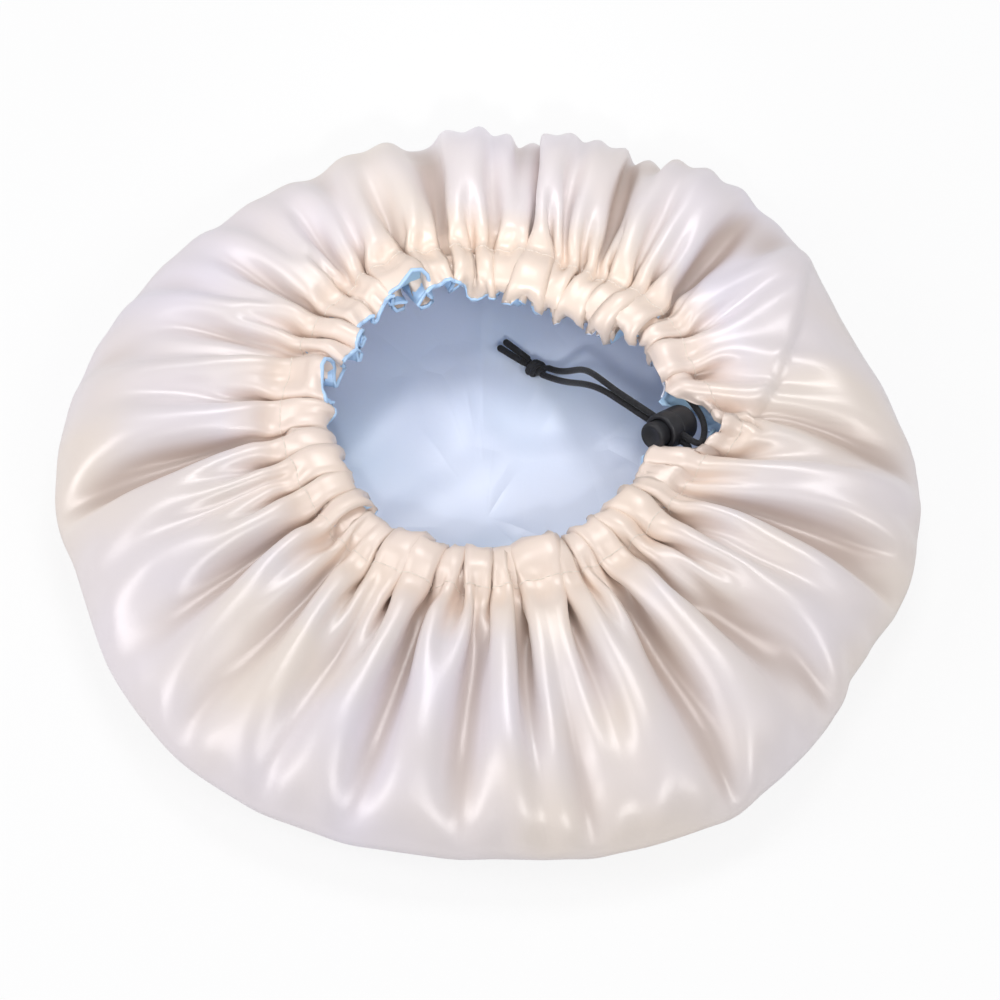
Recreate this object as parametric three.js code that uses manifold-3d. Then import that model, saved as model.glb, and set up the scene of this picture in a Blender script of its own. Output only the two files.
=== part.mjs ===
// Reversible satin hair bonnet with a drawcord, lying crown down with its gathered opening up.
// Millimetres, +Z up, floor at z = 0. The origin is on the crown's flat underside, in the middle of
// the outline. The viewer stands at -Y, so "back" is +Y, "front" is -Y and the cord lock is at +X.
// Plan angles are in degrees, from +X towards +Y.
import * as THREE from 'three';
import { mergeVertices } from 'three/addons/utils/BufferGeometryUtils.js';
import Module from 'manifold-3d';

const wasm = await Module();
wasm.setup();

// The gap that touching pieces keep, and the overrun that every cut shares.
const clearance = 0.3;
const cut_overrun = 2;

// The bag of cloth, two layers thick.
const outline_radius = 164;
const belly_height = 20;
const rim_height = 46;
const rim_tilt = 3;
const cloth = 0.6;
const layer_gap = 1.1;
const floor_radius = 142;
const crown_lift = 4;
const crease_height = 1.5;

// The gathered opening, a little behind the middle of the outline.
const opening_radius = 59;
const opening_side = 0.7;
const opening_back = 18.7;
const frill_width = 11;
const casing_width = 8;
const frill_wave = 3.2;
const scallop_depth = 5;
const gather_rise = 5.5;
const lining_fall = 3;
const fold_depth = 7;

// The notch in the frill where both cord ends come out, and how far it pushes the cloth outwards.
const notch_angle = -4;
const notch_half_angle = 17;
const mouth_half_angle = 34;
const notch_depth = 30;
const notch_dip = 2;
const mouth_slack = 1.3;
const notch_hem = 1.5;
const cord_push = 12;
const push_half_angle = 21;

// The elastic drawcord and its thread-sewn casing.
const cord_diameter = 2.5;
const cord_pitch = 2.9;
const cord_sides = 8;
const casing_steps = 80;
const lead_steps = 10;
const tail_steps = 34;
const end_steps = 4;
const thread = 0.4;
const seam_inset = 0.5;

// Where the cord lock sits, from the opening's centre, and how it is turned.
const lock_side = 70;
const lock_front = 3.3;
const lock_height = 43.5;
const tail_angle = 138;
const tail_dip = 5;
const lock_tilt = 25;

// The barrel of the cord lock, its wall and the distance from its mouth to the cords.
const barrel_diameter = 14.5;
const barrel_length = 16.5;
const barrel_round = 4.2;
const mouth_round = 0.9;
const mouth_reach = 5.2;
const barrel_floor = 1.4;
const barrel_wall = 1.8;

// The plunger with its button cap, and the spring behind it with its play in the bore.
const plunger_clearance = 0.3;
const plunger_travel = 2.8;
const plunger_web = 2.2;
const cap_inset = 1.9;
const cap_length = 2.2;
const cap_round = 1.1;
const spring_play = 1.4;
const spring_wire = 0.5;
const spring_turns = 3.5;

// The free cord: its straight stretch at the lock, the knot on the lining and the two cut ends.
const straight_run = 22;
const lead_gap = 1.2;
const back_join_angle = 0;
const back_bend_reach = 6;
const front_join_angle = 15;
const front_bend_reach = 3.6;
const knot_side = 18;
const knot_back = 48;
const knot_angle = 140;
const knot_dip = 20;
const knot_length = 10;
const knot_width = 9;
const knot_height = 8;
const fall_reach = 16;
const settle_reach = 16;
const tail_spread = 1.6;
const end_length = 11;
const end_spread = 1.6;

const satin_outer = new THREE.MeshStandardMaterial({ color: 0xe6dad4, roughness: 0.32, metalness: 0 });
const satin_inner = new THREE.MeshStandardMaterial({ color: 0xc9dcf3, roughness: 0.38, metalness: 0 });
const thread_cream = new THREE.MeshStandardMaterial({ color: 0xe9ddd2, roughness: 0.6, metalness: 0 });
const cord_black = new THREE.MeshStandardMaterial({ color: 0x17171b, roughness: 0.8, metalness: 0 });
const plastic_black = new THREE.MeshStandardMaterial({ color: 0x232329, roughness: 0.45, metalness: 0 });
const spring_steel = new THREE.MeshStandardMaterial({ color: 0xb8bcc2, roughness: 0.3, metalness: 1 });

const bonnet = new THREE.Group();
const FULL = 360;
const half_gap = layer_gap / 2;
const cord_radius = cord_diameter / 2;
const cord_room = cord_radius + clearance;

const turned = (degrees) => {
  const angle = THREE.MathUtils.degToRad(degrees);
  return new THREE.Vector3(Math.cos(angle), Math.sin(angle), 0);
};
const raised = (degrees, rise) => {
  const angle = THREE.MathUtils.degToRad(rise);
  return turned(degrees).multiplyScalar(Math.cos(angle)).setZ(Math.sin(angle));
};
const along = (point, direction, distance) => point.clone().addScaledVector(direction, distance);

// A value that runs smoothly through a closed ring of numbers; place counts along the ring.
function around(ring, place) {
  const n = ring.length;
  const i = Math.floor(place);
  const t = place - i;
  const [a, b, c, d] = [-1, 0, 1, 2].map((k) => ring[(((i + k) % n) + n) % n]);
  return b + 0.5 * t * (c - a + t * (2 * a - 5 * b + 4 * c - d + t * (3 * (b - c) + d - a)));
}

// Radius of the outline, every 15 degrees, as shares of outline_radius.
const outline_shares = [
  1.0, 0.97, 0.96, 1.02, 1.03, 1.01, 1.0, 1.0, 0.98, 0.99, 0.995, 1.0,
  1.0, 0.97, 0.99, 1.01, 1.01, 1.0, 0.995, 1.02, 1.04, 1.02, 0.98, 1.0,
];
// Radius of the opening, every 30 degrees round its own centre, as shares of opening_radius.
const opening_shares = [1.0, 1.06, 0.94, 0.97, 1.02, 0.98, 1.02, 1.0, 1.03, 0.98, 1.0, 1.03];

// The gathers in order round the opening: the angle of each ridge, how far its outer end swings
// round the outline, and how tall it stands. The cord lock's notch lies between the last and first.
const gather_shares = [
  [1.4, -2, 0.2], [20, 1, 0.8], [32, 5, 1.0], [42, 9, 0.8], [52, 9, 1.1], [63, 7, 0.7], [74, 4, 1.0],
  [85, 0, 0.9], [97, -3, 1.0], [110, -4, 1.2], [123, -4, 1.2], [137, -2, 1.1], [151, 1, 0.9], [165, 3, 1.0],
  [180, 4, 0.6], [194, 3, 0.8], [208, 2, 1.0], [222, 2, 1.2], [236, 2, 1.0], [249, 0, 0.9], [262, -2, 1.1],
  [274, -3, 0.8], [285, -3, 1.1], [296, -1, 1.0], [307, 1, 1.1], [318, 4, 1.0], [330, 5, 0.9], [344.8, 2, 0.2],
];
const gather_count = gather_shares.length;
const fine_steps = 3;
const fine_columns = gather_count * fine_steps;
const gather_pitch = FULL / gather_count;
const gather_shift = gather_shares.map(([angle], k) => angle - k * gather_pitch);
const gather_swing = gather_shares.map(([, swing]) => swing);
const gather_stand = gather_shares.map(([, , stand]) => stand);
const ridgeAngle = (phase) => phase * gather_pitch + around(gather_shift, phase);
const stand = (phase) => around(gather_stand, phase);
// 1 on a gather's ridge and 0 in the valley beside it.
const ridge = (phase) => 0.5 + 0.5 * Math.cos(2 * Math.PI * phase);
// The wide folds of the ring, one for two gathers, from -1 to 1.
const wideFold = (phase) => Math.sin(Math.PI * phase) * (0.8 + 0.3 * Math.cos(phase));

// The opening's centre at rim height, and shapes that follow the angle round it.
const opening = new THREE.Vector3(opening_side, opening_back, 0);
const fromNotch = (degrees) => Math.abs(((degrees - notch_angle + 1.5 * FULL) % FULL) - FULL / 2);
const inNotch = (degrees) => Math.max(0, 1 - (fromNotch(degrees) / notch_half_angle) ** 1.2);
const mouthOpen = (degrees) => {
  const share = (mouth_half_angle - fromNotch(degrees)) / (mouth_half_angle - notch_half_angle);
  return Math.min(1, Math.max(0, share));
};
const pushShare = (degrees) => {
  const x = Math.min(1, fromNotch(degrees) / push_half_angle);
  return Math.cos((x * Math.PI) / 2) ** 2;
};
const rimLevel = (degrees) => {
  const height = rim_height + rim_tilt * turned(degrees).y;
  return height - notch_dip * Math.max(0, turned(degrees - notch_angle).x) ** 6;
};
const openingRadius = (degrees) => opening_radius * around(opening_shares, (degrees / FULL) * opening_shares.length);
const cordRadius = (degrees) => openingRadius(degrees) + frill_width + cord_push * pushShare(degrees);

// The drawcord's own line inside the casing.
const cordPoint = (degrees) => along(opening, turned(degrees), cordRadius(degrees)).setZ(rimLevel(degrees));

// Radius of the frill's edge: scalloped at every gather and drawn outwards at the notch.
function edgeRadius(phase) {
  const degrees = ridgeAngle(phase);
  const open = inNotch(degrees);
  const scallop = scallop_depth * (1 - ridge(phase)) * (1 - open);
  return openingRadius(degrees) + notch_depth * open + scallop;
}

// The point of the outline that a gather's outer end reaches, at a share of the outline's radius.
function outlinePoint(phase, share) {
  const lean = Math.asin((opening_back / outline_radius) * turned(ridgeAngle(phase)).x);
  const degrees = ridgeAngle(phase) + THREE.MathUtils.radToDeg(lean) + around(gather_swing, phase);
  const radius = outline_radius * around(outline_shares, (degrees / FULL) * outline_shares.length);
  return turned(degrees).multiplyScalar(radius * share);
}

// A row of the cloth gives, for each phase, a point midway between the two layers and the distance
// of the outer layer and of the lining from it. side turns that distance from upwards, 0, to
// outwards, 1, and under the crown to downwards, 2.
function rimRow(radius, height, up, down) {
  return (phase) => {
    const degrees = ridgeAngle(phase);
    const point = along(opening, turned(degrees), radius(phase, degrees)).setZ(rimLevel(degrees) + height(phase, degrees));
    return { point, up: up(phase, degrees), down: down(phase, degrees), side: 0 };
  };
}

const casingRadius = (phase, degrees) => Math.max(cordRadius(degrees), edgeRadius(phase) + notch_hem);
const stitchRadius = (phase, degrees) => casingRadius(phase, degrees) + casing_width;
const edgeHeight = (phase, degrees) => frill_wave * (2 * ridge(phase) - 1) * stand(phase) * (1 - mouthOpen(degrees));
const edgeGap = (phase, degrees) => THREE.MathUtils.lerp(half_gap, cord_room + mouth_slack, mouthOpen(degrees));
const cordGap = (phase, degrees, rise) => cord_room + mouth_slack * mouthOpen(degrees) + rise * ridge(phase) * stand(phase);
const stitchHeight = (phase) => fold_depth * (ridge(phase) - 0.5) * stand(phase);

const edgeRow = rimRow(edgeRadius, edgeHeight, edgeGap, edgeGap);
const casingRow = rimRow(
  casingRadius,
  () => 0,
  (phase, degrees) => cordGap(phase, degrees, gather_rise),
  (phase, degrees) => cordGap(phase, degrees, lining_fall),
);
const stitchRow = rimRow(stitchRadius, stitchHeight, () => half_gap, () => half_gap);

// Rows of the ring's top between the stitch line, at 0, and the outline, at 1: how far out, how
// high between the belly and the rim, how deep the folds are, and which way the cloth faces.
const ring_shares = [
  [0.15, 1.03, 0.9, 0],
  [0.42, 1.02, 0.8, 0.05],
  [0.76, 0.84, 0.6, 0.3],
  [0.94, 0.44, 0.25, 0.65],
];
const ringRows = ring_shares.map(([out, level, depth, side]) => (phase) => {
  const degrees = ridgeAngle(phase);
  const from = along(opening, turned(degrees), stitchRadius(phase, degrees));
  const point = from.lerp(outlinePoint(phase, 1), out);
  const height = THREE.MathUtils.lerp(belly_height, rimLevel(degrees), level);
  point.setZ(height + fold_depth * depth * wideFold(phase));
  return { point, up: half_gap, down: half_gap, side };
});

// Rows of the belly and of the crown, which lies flat: share of the outline's radius, height share,
// facing, and how far the lining is lifted off the outer layer by the air between them.
const floor_share = floor_radius / outline_radius;
const low_shares = [
  [1, 1, 1, 0, 0],
  [0.5 + 0.5 * floor_share, 0.3, 1.4, 0, 0],
  [floor_share, 0, 2, 0, 0],
  [0.6 * floor_share, 0, 2, 1, 1],
];
const lowRows = low_shares.map(([out, level, side, lift, crease]) => (phase) => {
  const puckered = crease_height * crease * (0.5 - 0.5 * Math.cos(phase * phase));
  const point = outlinePoint(phase, out).setZ(belly_height * level);
  return { point, up: half_gap, down: half_gap + crown_lift * lift - puckered, side };
});

// A point of one layer: 0 is the face towards the other layer and 1 the face away from it.
function layerPoint(row, phase, layer, face) {
  const { point, up, down, side } = row(phase);
  const turn = (side * Math.PI) / 2;
  const facing = outlinePoint(phase, 1).normalize().multiplyScalar(Math.sin(turn)).setZ(Math.cos(turn));
  const distance = layer === 'outer' ? up + face * cloth : -(down + face * cloth);
  const underside = ((half_gap + cloth) * side) / 2;
  return along(point, facing, distance).add(new THREE.Vector3(0, 0, underside));
}

// One layer of the cloth as a closed sheet: its two faces, each a set of rings that narrows to half
// as many columns beyond the stitch line and ends in one point at the crown, joined at the edge.
function clothLayer(layer) {
  const points = [];
  const triangles = [];
  const turnedOver = layer !== 'outer';
  const put = (flip, a, b, c) => triangles.push(...(flip ? [a, c, b] : [a, b, c]));
  const ringOf = (row, face, step) => {
    const first = points.length;
    for (let k = 0; k < fine_columns; k += step) points.push(layerPoint(row, k / fine_steps, layer, face));
    return { first, count: fine_columns / step };
  };
  const at = (ring, k) => ring.first + (k % ring.count);
  const edges = [1, 0].map((face) => {
    const flip = turnedOver === (face === 1);
    const rings = [
      ...[edgeRow, casingRow, stitchRow].map((row) => ringOf(row, face, 1)),
      ...[...ringRows, ...lowRows].map((row) => ringOf(row, face, 2)),
    ];
    for (let r = 0; r + 1 < rings.length; r += 1) {
      const [near, far] = [rings[r], rings[r + 1]];
      for (let k = 0; k < far.count; k += 1) {
        if (near.count === far.count) {
          put(flip, at(near, k), at(far, k), at(far, k + 1));
          put(flip, at(near, k), at(far, k + 1), at(near, k + 1));
        } else {
          put(flip, at(near, 2 * k), at(far, k), at(near, 2 * k + 1));
          put(flip, at(near, 2 * k + 1), at(far, k), at(far, k + 1));
          put(flip, at(near, 2 * k + 1), at(far, k + 1), at(near, 2 * k + 2));
        }
      }
    }
    const last = rings.at(-1);
    const pole = points.length;
    const height = points.slice(last.first).reduce((sum, p) => sum + p.z, 0) / last.count;
    points.push(new THREE.Vector3(0, 0, height));
    for (let k = 0; k < last.count; k += 1) put(flip, at(last, k), pole, at(last, k + 1));
    return rings[0];
  });
  const [away, inner] = edges;
  for (let k = 0; k < fine_columns; k += 1) {
    put(turnedOver, at(away, k), at(away, k + 1), at(inner, k));
    put(turnedOver, at(away, k + 1), at(inner, k + 1), at(inner, k));
  }
  return geometryOf(points.flatMap((p) => p.toArray()), triangles);
}

function geometryOf(numbers, triangles) {
  const geometry = new THREE.BufferGeometry();
  geometry.setAttribute('position', new THREE.Float32BufferAttribute(numbers, 3));
  geometry.setIndex(triangles);
  geometry.computeVertexNormals();
  return geometry;
}

function add(name, geometry, material, parent = bonnet) {
  const mesh = new THREE.Mesh(geometry, material);
  mesh.name = name;
  parent.add(mesh);
  return mesh;
}

// A regular section of a cord or thread, so many sides.
function roundSection(diameter, sides) {
  const points = Array.from({ length: sides }, (_, k) => {
    const corner = turned(((k + 0.5) * FULL) / sides).multiplyScalar(diameter / 2);
    return new THREE.Vector2(corner.x, corner.y);
  });
  return new THREE.Shape(points);
}

const tube = (curve, diameter, sides, steps) =>
  new THREE.ExtrudeGeometry(roundSection(diameter, sides), { extrudePath: curve, steps });

// A closed or open thread whose section stands square at every point, as a ring of short prisms.
function threadGeometry(points, closed) {
  const sides = 4;
  const numbers = [];
  const triangles = [];
  const count = points.length;
  points.forEach((point, k) => {
    const before = points[closed ? (k + count - 1) % count : Math.max(0, k - 1)];
    const after = points[closed ? (k + 1) % count : Math.min(count - 1, k + 1)];
    const heading = after.clone().sub(before).normalize();
    const across = new THREE.Vector3(heading.y, -heading.x, 0).normalize();
    const upward = across.clone().cross(heading);
    for (let s = 0; s < sides; s += 1) {
      const corner = turned((s * FULL) / sides).multiplyScalar(thread / 2);
      numbers.push(...along(along(point, across, corner.x), upward, corner.y).toArray());
    }
  });
  const joins = closed ? count : count - 1;
  for (let k = 0; k < joins; k += 1) {
    const [a, b] = [k * sides, ((k + 1) % count) * sides];
    for (let s = 0; s < sides; s += 1) {
      const t = (s + 1) % sides;
      triangles.push(a + s, b + s, a + t, a + t, b + s, b + t);
    }
  }
  if (!closed) {
    const end = (count - 1) * sides;
    triangles.push(0, 1, 2, 0, 2, 3, end, end + 2, end + 1, end, end + 3, end + 2);
  }
  return geometryOf(numbers, triangles);
}

add('outer_satin_shell', clothLayer('outer'), satin_outer);
add('satin_lining', clothLayer('inner'), satin_inner);

// The stitch row that closes the casing runs between the layers, all the way round.
const columns = Array.from({ length: fine_columns }, (_, k) => k / fine_steps);
add('casing_stitching', threadGeometry(columns.map((phase) => stitchRow(phase).point), true), thread_cream);

// The edge seam stops on both sides of the notch, where the cord ends come out.
const seamed = columns.filter((phase) => mouthOpen(ridgeAngle(phase)) === 0);
const seamPoint = (phase) => {
  const edge = edgeRow(phase).point;
  const inward = casingRow(phase).point.sub(edge);
  return along(edge, inward, seam_inset / inward.length());
};
add('edge_seam_stitching', threadGeometry(seamed.map(seamPoint), false), thread_cream);

// The cord lock's own frame: X along the cords, Y along the plunger towards its button, and the
// two cords lie one over the other along Z. Its origin is where the cords cross the plunger.
const cords = raised(tail_angle, -tail_dip);
const level = turned(tail_angle + FULL / 4);
const press = level.clone().applyAxisAngle(cords, THREE.MathUtils.degToRad(lock_tilt));
const stack = cords.clone().cross(press);
const barrel_centre = opening.clone().add(new THREE.Vector3(lock_side, -lock_front, lock_height));
const crossing = along(barrel_centre, press, barrel_length / 2 - mouth_reach);
const cord_lock = new THREE.Group();
cord_lock.position.copy(crossing);
cord_lock.quaternion.setFromRotationMatrix(new THREE.Matrix4().makeBasis(cords, press, stack));
bonnet.add(cord_lock);

// Points of a quarter round from one direction to the next, about a centre in a lathe profile.
function quarterRound(x, y, radius, start, steps = 6) {
  return Array.from({ length: steps + 1 }, (_, k) => {
    const corner = turned(start + (k * FULL) / 4 / steps).multiplyScalar(radius);
    return new THREE.Vector2(x + corner.x, y + corner.y);
  });
}

// A lathed solid about Y, and a slot with round corners that runs through it along X.
const lathe_sides = 32;
const lathed = (points) => new THREE.LatheGeometry(points, lathe_sides);
function slotSolid(low, high, height, length) {
  const [x, y0, y1] = [height / 2 - cord_room, low + cord_room, high - cord_room];
  const shape = new THREE.Shape();
  shape.absarc(x, y0, cord_room, -Math.PI / 2, 0, false);
  shape.absarc(x, y1, cord_room, 0, Math.PI / 2, false);
  shape.absarc(-x, y1, cord_room, Math.PI / 2, Math.PI, false);
  shape.absarc(-x, y0, cord_room, Math.PI, 1.5 * Math.PI, false);
  const slot = new THREE.ExtrudeGeometry(shape, { depth: length, bevelEnabled: false, curveSegments: 8 });
  slot.translate(0, 0, -length / 2);
  return slot.rotateY(Math.PI / 2);
}

function solidOf(geometry) {
  const bare = geometry.clone();
  bare.deleteAttribute('normal');
  bare.deleteAttribute('uv');
  const merged = mergeVertices(bare);
  const vertProperties = new Float32Array(merged.attributes.position.array);
  const triVerts = new Uint32Array(merged.index.array);
  return new wasm.Manifold(new wasm.Mesh({ numProp: 3, vertProperties, triVerts }));
}

function cut(body, tool) {
  const mesh = solidOf(body).subtract(solidOf(tool)).getMesh();
  return geometryOf(Array.from(mesh.vertProperties), Array.from(mesh.triVerts));
}

const slot_height = cord_pitch + cord_diameter + 2 * clearance;
const barrel_radius = barrel_diameter / 2;
const bore_radius = barrel_radius - barrel_wall;
const closed_end = mouth_reach - barrel_length;
const bore_floor = closed_end + barrel_floor;
const barrel = lathed([
  new THREE.Vector2(0, closed_end),
  ...quarterRound(barrel_radius - barrel_round, closed_end + barrel_round, barrel_round, -FULL / 4),
  ...quarterRound(barrel_radius - mouth_round, mouth_reach - mouth_round, mouth_round, 0, 3),
  new THREE.Vector2(bore_radius, mouth_reach),
  new THREE.Vector2(bore_radius, bore_floor),
  new THREE.Vector2(0, bore_floor),
]);
const through = barrel_diameter + cut_overrun;
add('cord_lock_barrel', cut(barrel, slotSolid(-cord_room, cord_room, slot_height, through)), plastic_black, cord_lock);

// The plunger's slot is longer than the barrel's by its travel, so the cords clear it all the way.
const plunger_radius = bore_radius - plunger_clearance;
const cap_radius = barrel_radius - cap_inset;
const plunger_end = -cord_room - plunger_web;
const cap_seat = mouth_reach + plunger_travel + clearance;
const plunger = lathed([
  new THREE.Vector2(0, plunger_end),
  new THREE.Vector2(plunger_radius, plunger_end),
  new THREE.Vector2(plunger_radius, cap_seat),
  new THREE.Vector2(cap_radius, cap_seat),
  ...quarterRound(cap_radius - cap_round, cap_seat + cap_length - cap_round, cap_round, 0, 4),
  new THREE.Vector2(0, cap_seat + cap_length),
]);
const plunger_slot = slotSolid(-cord_room, cord_room + plunger_travel, slot_height, through);
add('plunger', cut(plunger, plunger_slot), plastic_black, cord_lock);

// The compression spring between the bore's floor and the plunger, a helix about Y.
class Helix extends THREE.Curve {
  getPoint(t) {
    const radius = bore_radius - spring_play - spring_wire / 2;
    const low = bore_floor + clearance + spring_wire / 2;
    const high = plunger_end - clearance - spring_wire / 2;
    const place = turned(t * spring_turns * FULL).multiplyScalar(radius);
    return new THREE.Vector3(place.x, THREE.MathUtils.lerp(low, high, t), place.y);
  }
}
const turn_steps = 16;
add('spring', tube(new Helix(), spring_wire, 6, Math.round(spring_turns * turn_steps)), spring_steel, cord_lock);

// Where the two cords enter the lock. The one from the back of the notch lies over the other.
const strands = [
  { name: 'back', side: 1, join: back_join_angle, reach: back_bend_reach },
  { name: 'front', side: -1, join: front_join_angle, reach: front_bend_reach },
];
const stackOffset = (side) => stack.clone().multiplyScalar((side * cord_pitch) / 2);
const entry = along(crossing, cords, -barrel_radius - lead_gap);

// The drawcord in its casing: from one lead at the lock, all round the opening and to the other.
function leadPoints({ side, join, reach }) {
  const face = along(entry, cords, -clearance).add(stackOffset(side));
  const start = along(face, cords, -cord_radius);
  const end = cordPoint(notch_angle + side * join);
  const heading = cordPoint(notch_angle + side * (join - 1)).sub(end).normalize();
  const bend = new THREE.CubicBezierCurve3(start, along(start, cords, -reach), along(end, heading, reach), end);
  return [face, ...bend.getSpacedPoints(lead_steps)];
}
const leads = strands.map(leadPoints);
const run_angle = FULL - back_join_angle - front_join_angle;
const runPoint = (k) => cordPoint(notch_angle + back_join_angle + (k * run_angle) / casing_steps);
const casing_points = [
  ...leads[0],
  ...Array.from({ length: casing_steps - 1 }, (_, k) => runPoint(k + 1)),
  ...leads[1].reverse(),
];
const casing_curve = new THREE.CatmullRomCurve3(casing_points, false, 'centripetal');
add('drawcord', tube(casing_curve, cord_diameter, cord_sides, casing_points.length), cord_black);

// The knot lies on the lining. The tails come down to it from the lock's straight stretch.
const lining_top = 2 * cloth + layer_gap + crown_lift;
const knot_centre = opening.clone().add(new THREE.Vector3(knot_side, knot_back, lining_top + clearance + knot_height / 2));
const knot_way = turned(knot_angle);
const arrive = raised(knot_angle, -knot_dip);
const knot = new THREE.SphereGeometry(knot_length / 2, 16, 10);
knot.scale(1, knot_width / knot_length, knot_height / knot_length);
knot.rotateZ(THREE.MathUtils.degToRad(knot_angle));
add('knot', knot, cord_black).position.copy(knot_centre);

const knot_across = turned(knot_angle + FULL / 4);
strands.forEach(({ name, side }) => {
  const start = entry.clone().add(stackOffset(side));
  const bend = along(start, cords, barrel_diameter + lead_gap + straight_run);
  const beside = along(knot_centre, knot_across, (-side * tail_spread * cord_diameter) / 2);
  const end = along(beside, arrive, -knot_length / 2 - clearance);
  const path = new THREE.CurvePath();
  path.add(new THREE.LineCurve3(start, bend));
  path.add(new THREE.CubicBezierCurve3(bend, along(bend, cords, fall_reach), along(end, arrive, -settle_reach), end));
  add(`${name}_cord_tail`, tube(path, cord_diameter, cord_sides, tail_steps), cord_black);
  const out = along(knot_centre, knot_across, (side * end_spread * cord_diameter) / 2);
  const root = along(out, knot_way, knot_length / 2 + clearance);
  const tip = along(along(root, knot_way, end_length), knot_across, (side * cord_diameter) / 2);
  add(`${name}_cord_end`, tube(new THREE.LineCurve3(root, tip), cord_diameter, cord_sides, end_steps), cord_black);
});

export default bonnet;
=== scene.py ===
"""The reversible satin hair bonnet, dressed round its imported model.

A cream outer satin and a light-blue lining are gathered together onto an elastic drawcord. Both
ends of the cord leave the frill through a notch, pass a spring cord lock and end in one knot that
lies on the lining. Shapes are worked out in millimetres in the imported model's frame, floor at
z = 0 and the viewer at -Y, and become metres when they go into a mesh.
"""

import math

import bmesh
import bpy
import numpy as np
from bpy.props import FloatProperty, FloatVectorProperty, IntProperty, PointerProperty
from bpy.types import Operator, Panel, PropertyGroup
from mathutils import Matrix, Vector


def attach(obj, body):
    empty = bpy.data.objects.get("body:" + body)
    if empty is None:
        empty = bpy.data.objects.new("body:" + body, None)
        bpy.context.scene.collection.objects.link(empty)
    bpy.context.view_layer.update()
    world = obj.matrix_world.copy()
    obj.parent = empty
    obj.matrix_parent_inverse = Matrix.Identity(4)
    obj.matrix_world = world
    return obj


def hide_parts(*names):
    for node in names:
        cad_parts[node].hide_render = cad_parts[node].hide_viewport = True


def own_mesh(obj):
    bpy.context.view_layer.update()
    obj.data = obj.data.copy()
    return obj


bl_info = {
    "name": "Satin hair bonnet",
    "version": (1, 0, 0),
    "blender": (4, 5, 0),
    "location": "3D View > Sidebar > Bonnet",
    "description": "Dresses a drawstring hair bonnet of two satins, with its cord and cord lock",
    "category": "Add Mesh",
}

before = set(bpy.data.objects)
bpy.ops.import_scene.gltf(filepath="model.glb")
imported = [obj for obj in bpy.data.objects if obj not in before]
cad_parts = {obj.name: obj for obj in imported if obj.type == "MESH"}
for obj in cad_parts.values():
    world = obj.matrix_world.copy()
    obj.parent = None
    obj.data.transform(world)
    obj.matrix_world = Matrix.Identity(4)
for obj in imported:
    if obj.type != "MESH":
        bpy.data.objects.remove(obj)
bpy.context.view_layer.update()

MM = 0.001
FULL = 360.0
UP = np.array([0.0, 0.0, 1.0])

# The bag, in millimetres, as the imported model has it: the opening's middle, how much higher its
# rim is at the back, the flat of the crown, how far the lining lies above it, and how near the
# cloth's middle comes to the floor.
OPENING = np.array([0.7, 18.7, 0.0])
RIM_TILT = 3.0
FLOOR_RADIUS = 142.0
CROWN_LIFT = 4.0
LEAST_HEIGHT = 0.3

# The notch in the frill, in degrees and millimetres, and the mouth of the casing round it.
NOTCH_ANGLE = -4.0
NOTCH_HALF_ANGLE = 13.0
NOTCH_DEPTH = 30.0
NOTCH_DIP = 2.0
NOTCH_HEM = 1.5
MOUTH_HALF_ANGLE = 34.0
MOUTH_SLACK = 1.3

# The frill: how far it runs level, the arc it curls down on, and how far it is drawn back.
FRILL_FLAT = 6.0
FRILL_CURL = 4.5
FLAP_PULL = 6.0

# The cord in its casing: the room round it and how far the cord lock pushes it outwards.
CORD_GAP = 0.3
CORD_PUSH = 12.0
PUSH_HALF_ANGLE = 21.0

# The cord lock: its middle seen from the opening's, the slot that its cords run in, how far its
# mouth lies from them and the play between its parts. Its turned solids begin this near to their
# axis and have this many sides.
LOCK_PLACE = np.array([70.0, -3.3, 43.5])
CORD_PITCH = 2.9
CORD_ROOM = 1.55
MOUTH_REACH = 5.2
FIT = 0.3
AXIS = 0.001
TURNED_SIDES = 96

# Its barrel. The parting line is a groove: its depth at some heights.
BARREL_FLOOR = 1.4
BARREL_ROUND = 4.2
BARREL_EDGE = 0.22
MOUTH_ROUND = 0.9
MOUTH_BEVEL = 0.15
PARTING_LINE = [[0.0, -1.15], [0.12, -1.0], [0.12, -0.7], [0.0, -0.55]]

# Its plunger. The cap's dish is a depth at some shares of the cap's radius.
PLUNGER_WEB = 2.2
PLUNGER_EDGE = 0.15
STEM_BEVEL = 0.2
CAP_INSET = 1.9
CAP_HEIGHT = 2.2
CAP_ROUND = 1.1
CAP_BEVEL = 0.1
CAP_DISH = [[0.7, 0.02], [0.6, 0.1], [0.5, 0.25], [0.25, 0.36]]
CAP_MIDDLE = 0.4

# Its spring: the wire's radius, the coil's play in the bore and the number of turns.
SPRING_WIRE = 0.25
SPRING_PLAY = 1.4
SPRING_TURNS = 3.5

# The cords outside the casing, from the notch to the knot, in millimetres and degrees.
LEAD_GAP = 1.2
LEAD_SPREAD = 15.0
STRAIGHT_RUN = 22.0
FALL_REACH = 16.0
SETTLE_REACH = 16.0
TAIL_SPREAD = 1.6
TAIL_BOW = 1.6
END_LENGTH = 11.0
END_SPREAD = 1.02
END_FLARE = 1.08

# How finely the cords are drawn: sides of their tubes and points along the drawcord, a tail, a cut
# end and the knot.
CORD_SIDES = 16
RING_STEPS = 620
TAIL_STEPS = 110
END_STEPS = 24
KNOT_STEPS = 90

# The knot, its middle seen from the opening's. Its two strands lie side by side, drawn up tight.
KNOT_PLACE = np.array([18.0, 48.0, 10.6])
KNOT_ANGLE = 140.0
KNOT_DIP = 20.0
KNOT_LENGTH = 10.0
KNOT_HALF_SIZE = [3.7, 3.5, 2.9]
KNOT_UNDERSIDE = 3.9
KNOT_SQUEEZE = 0.92
STRAND_SHIFT = [0.55, 0.35, 0.75]

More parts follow.
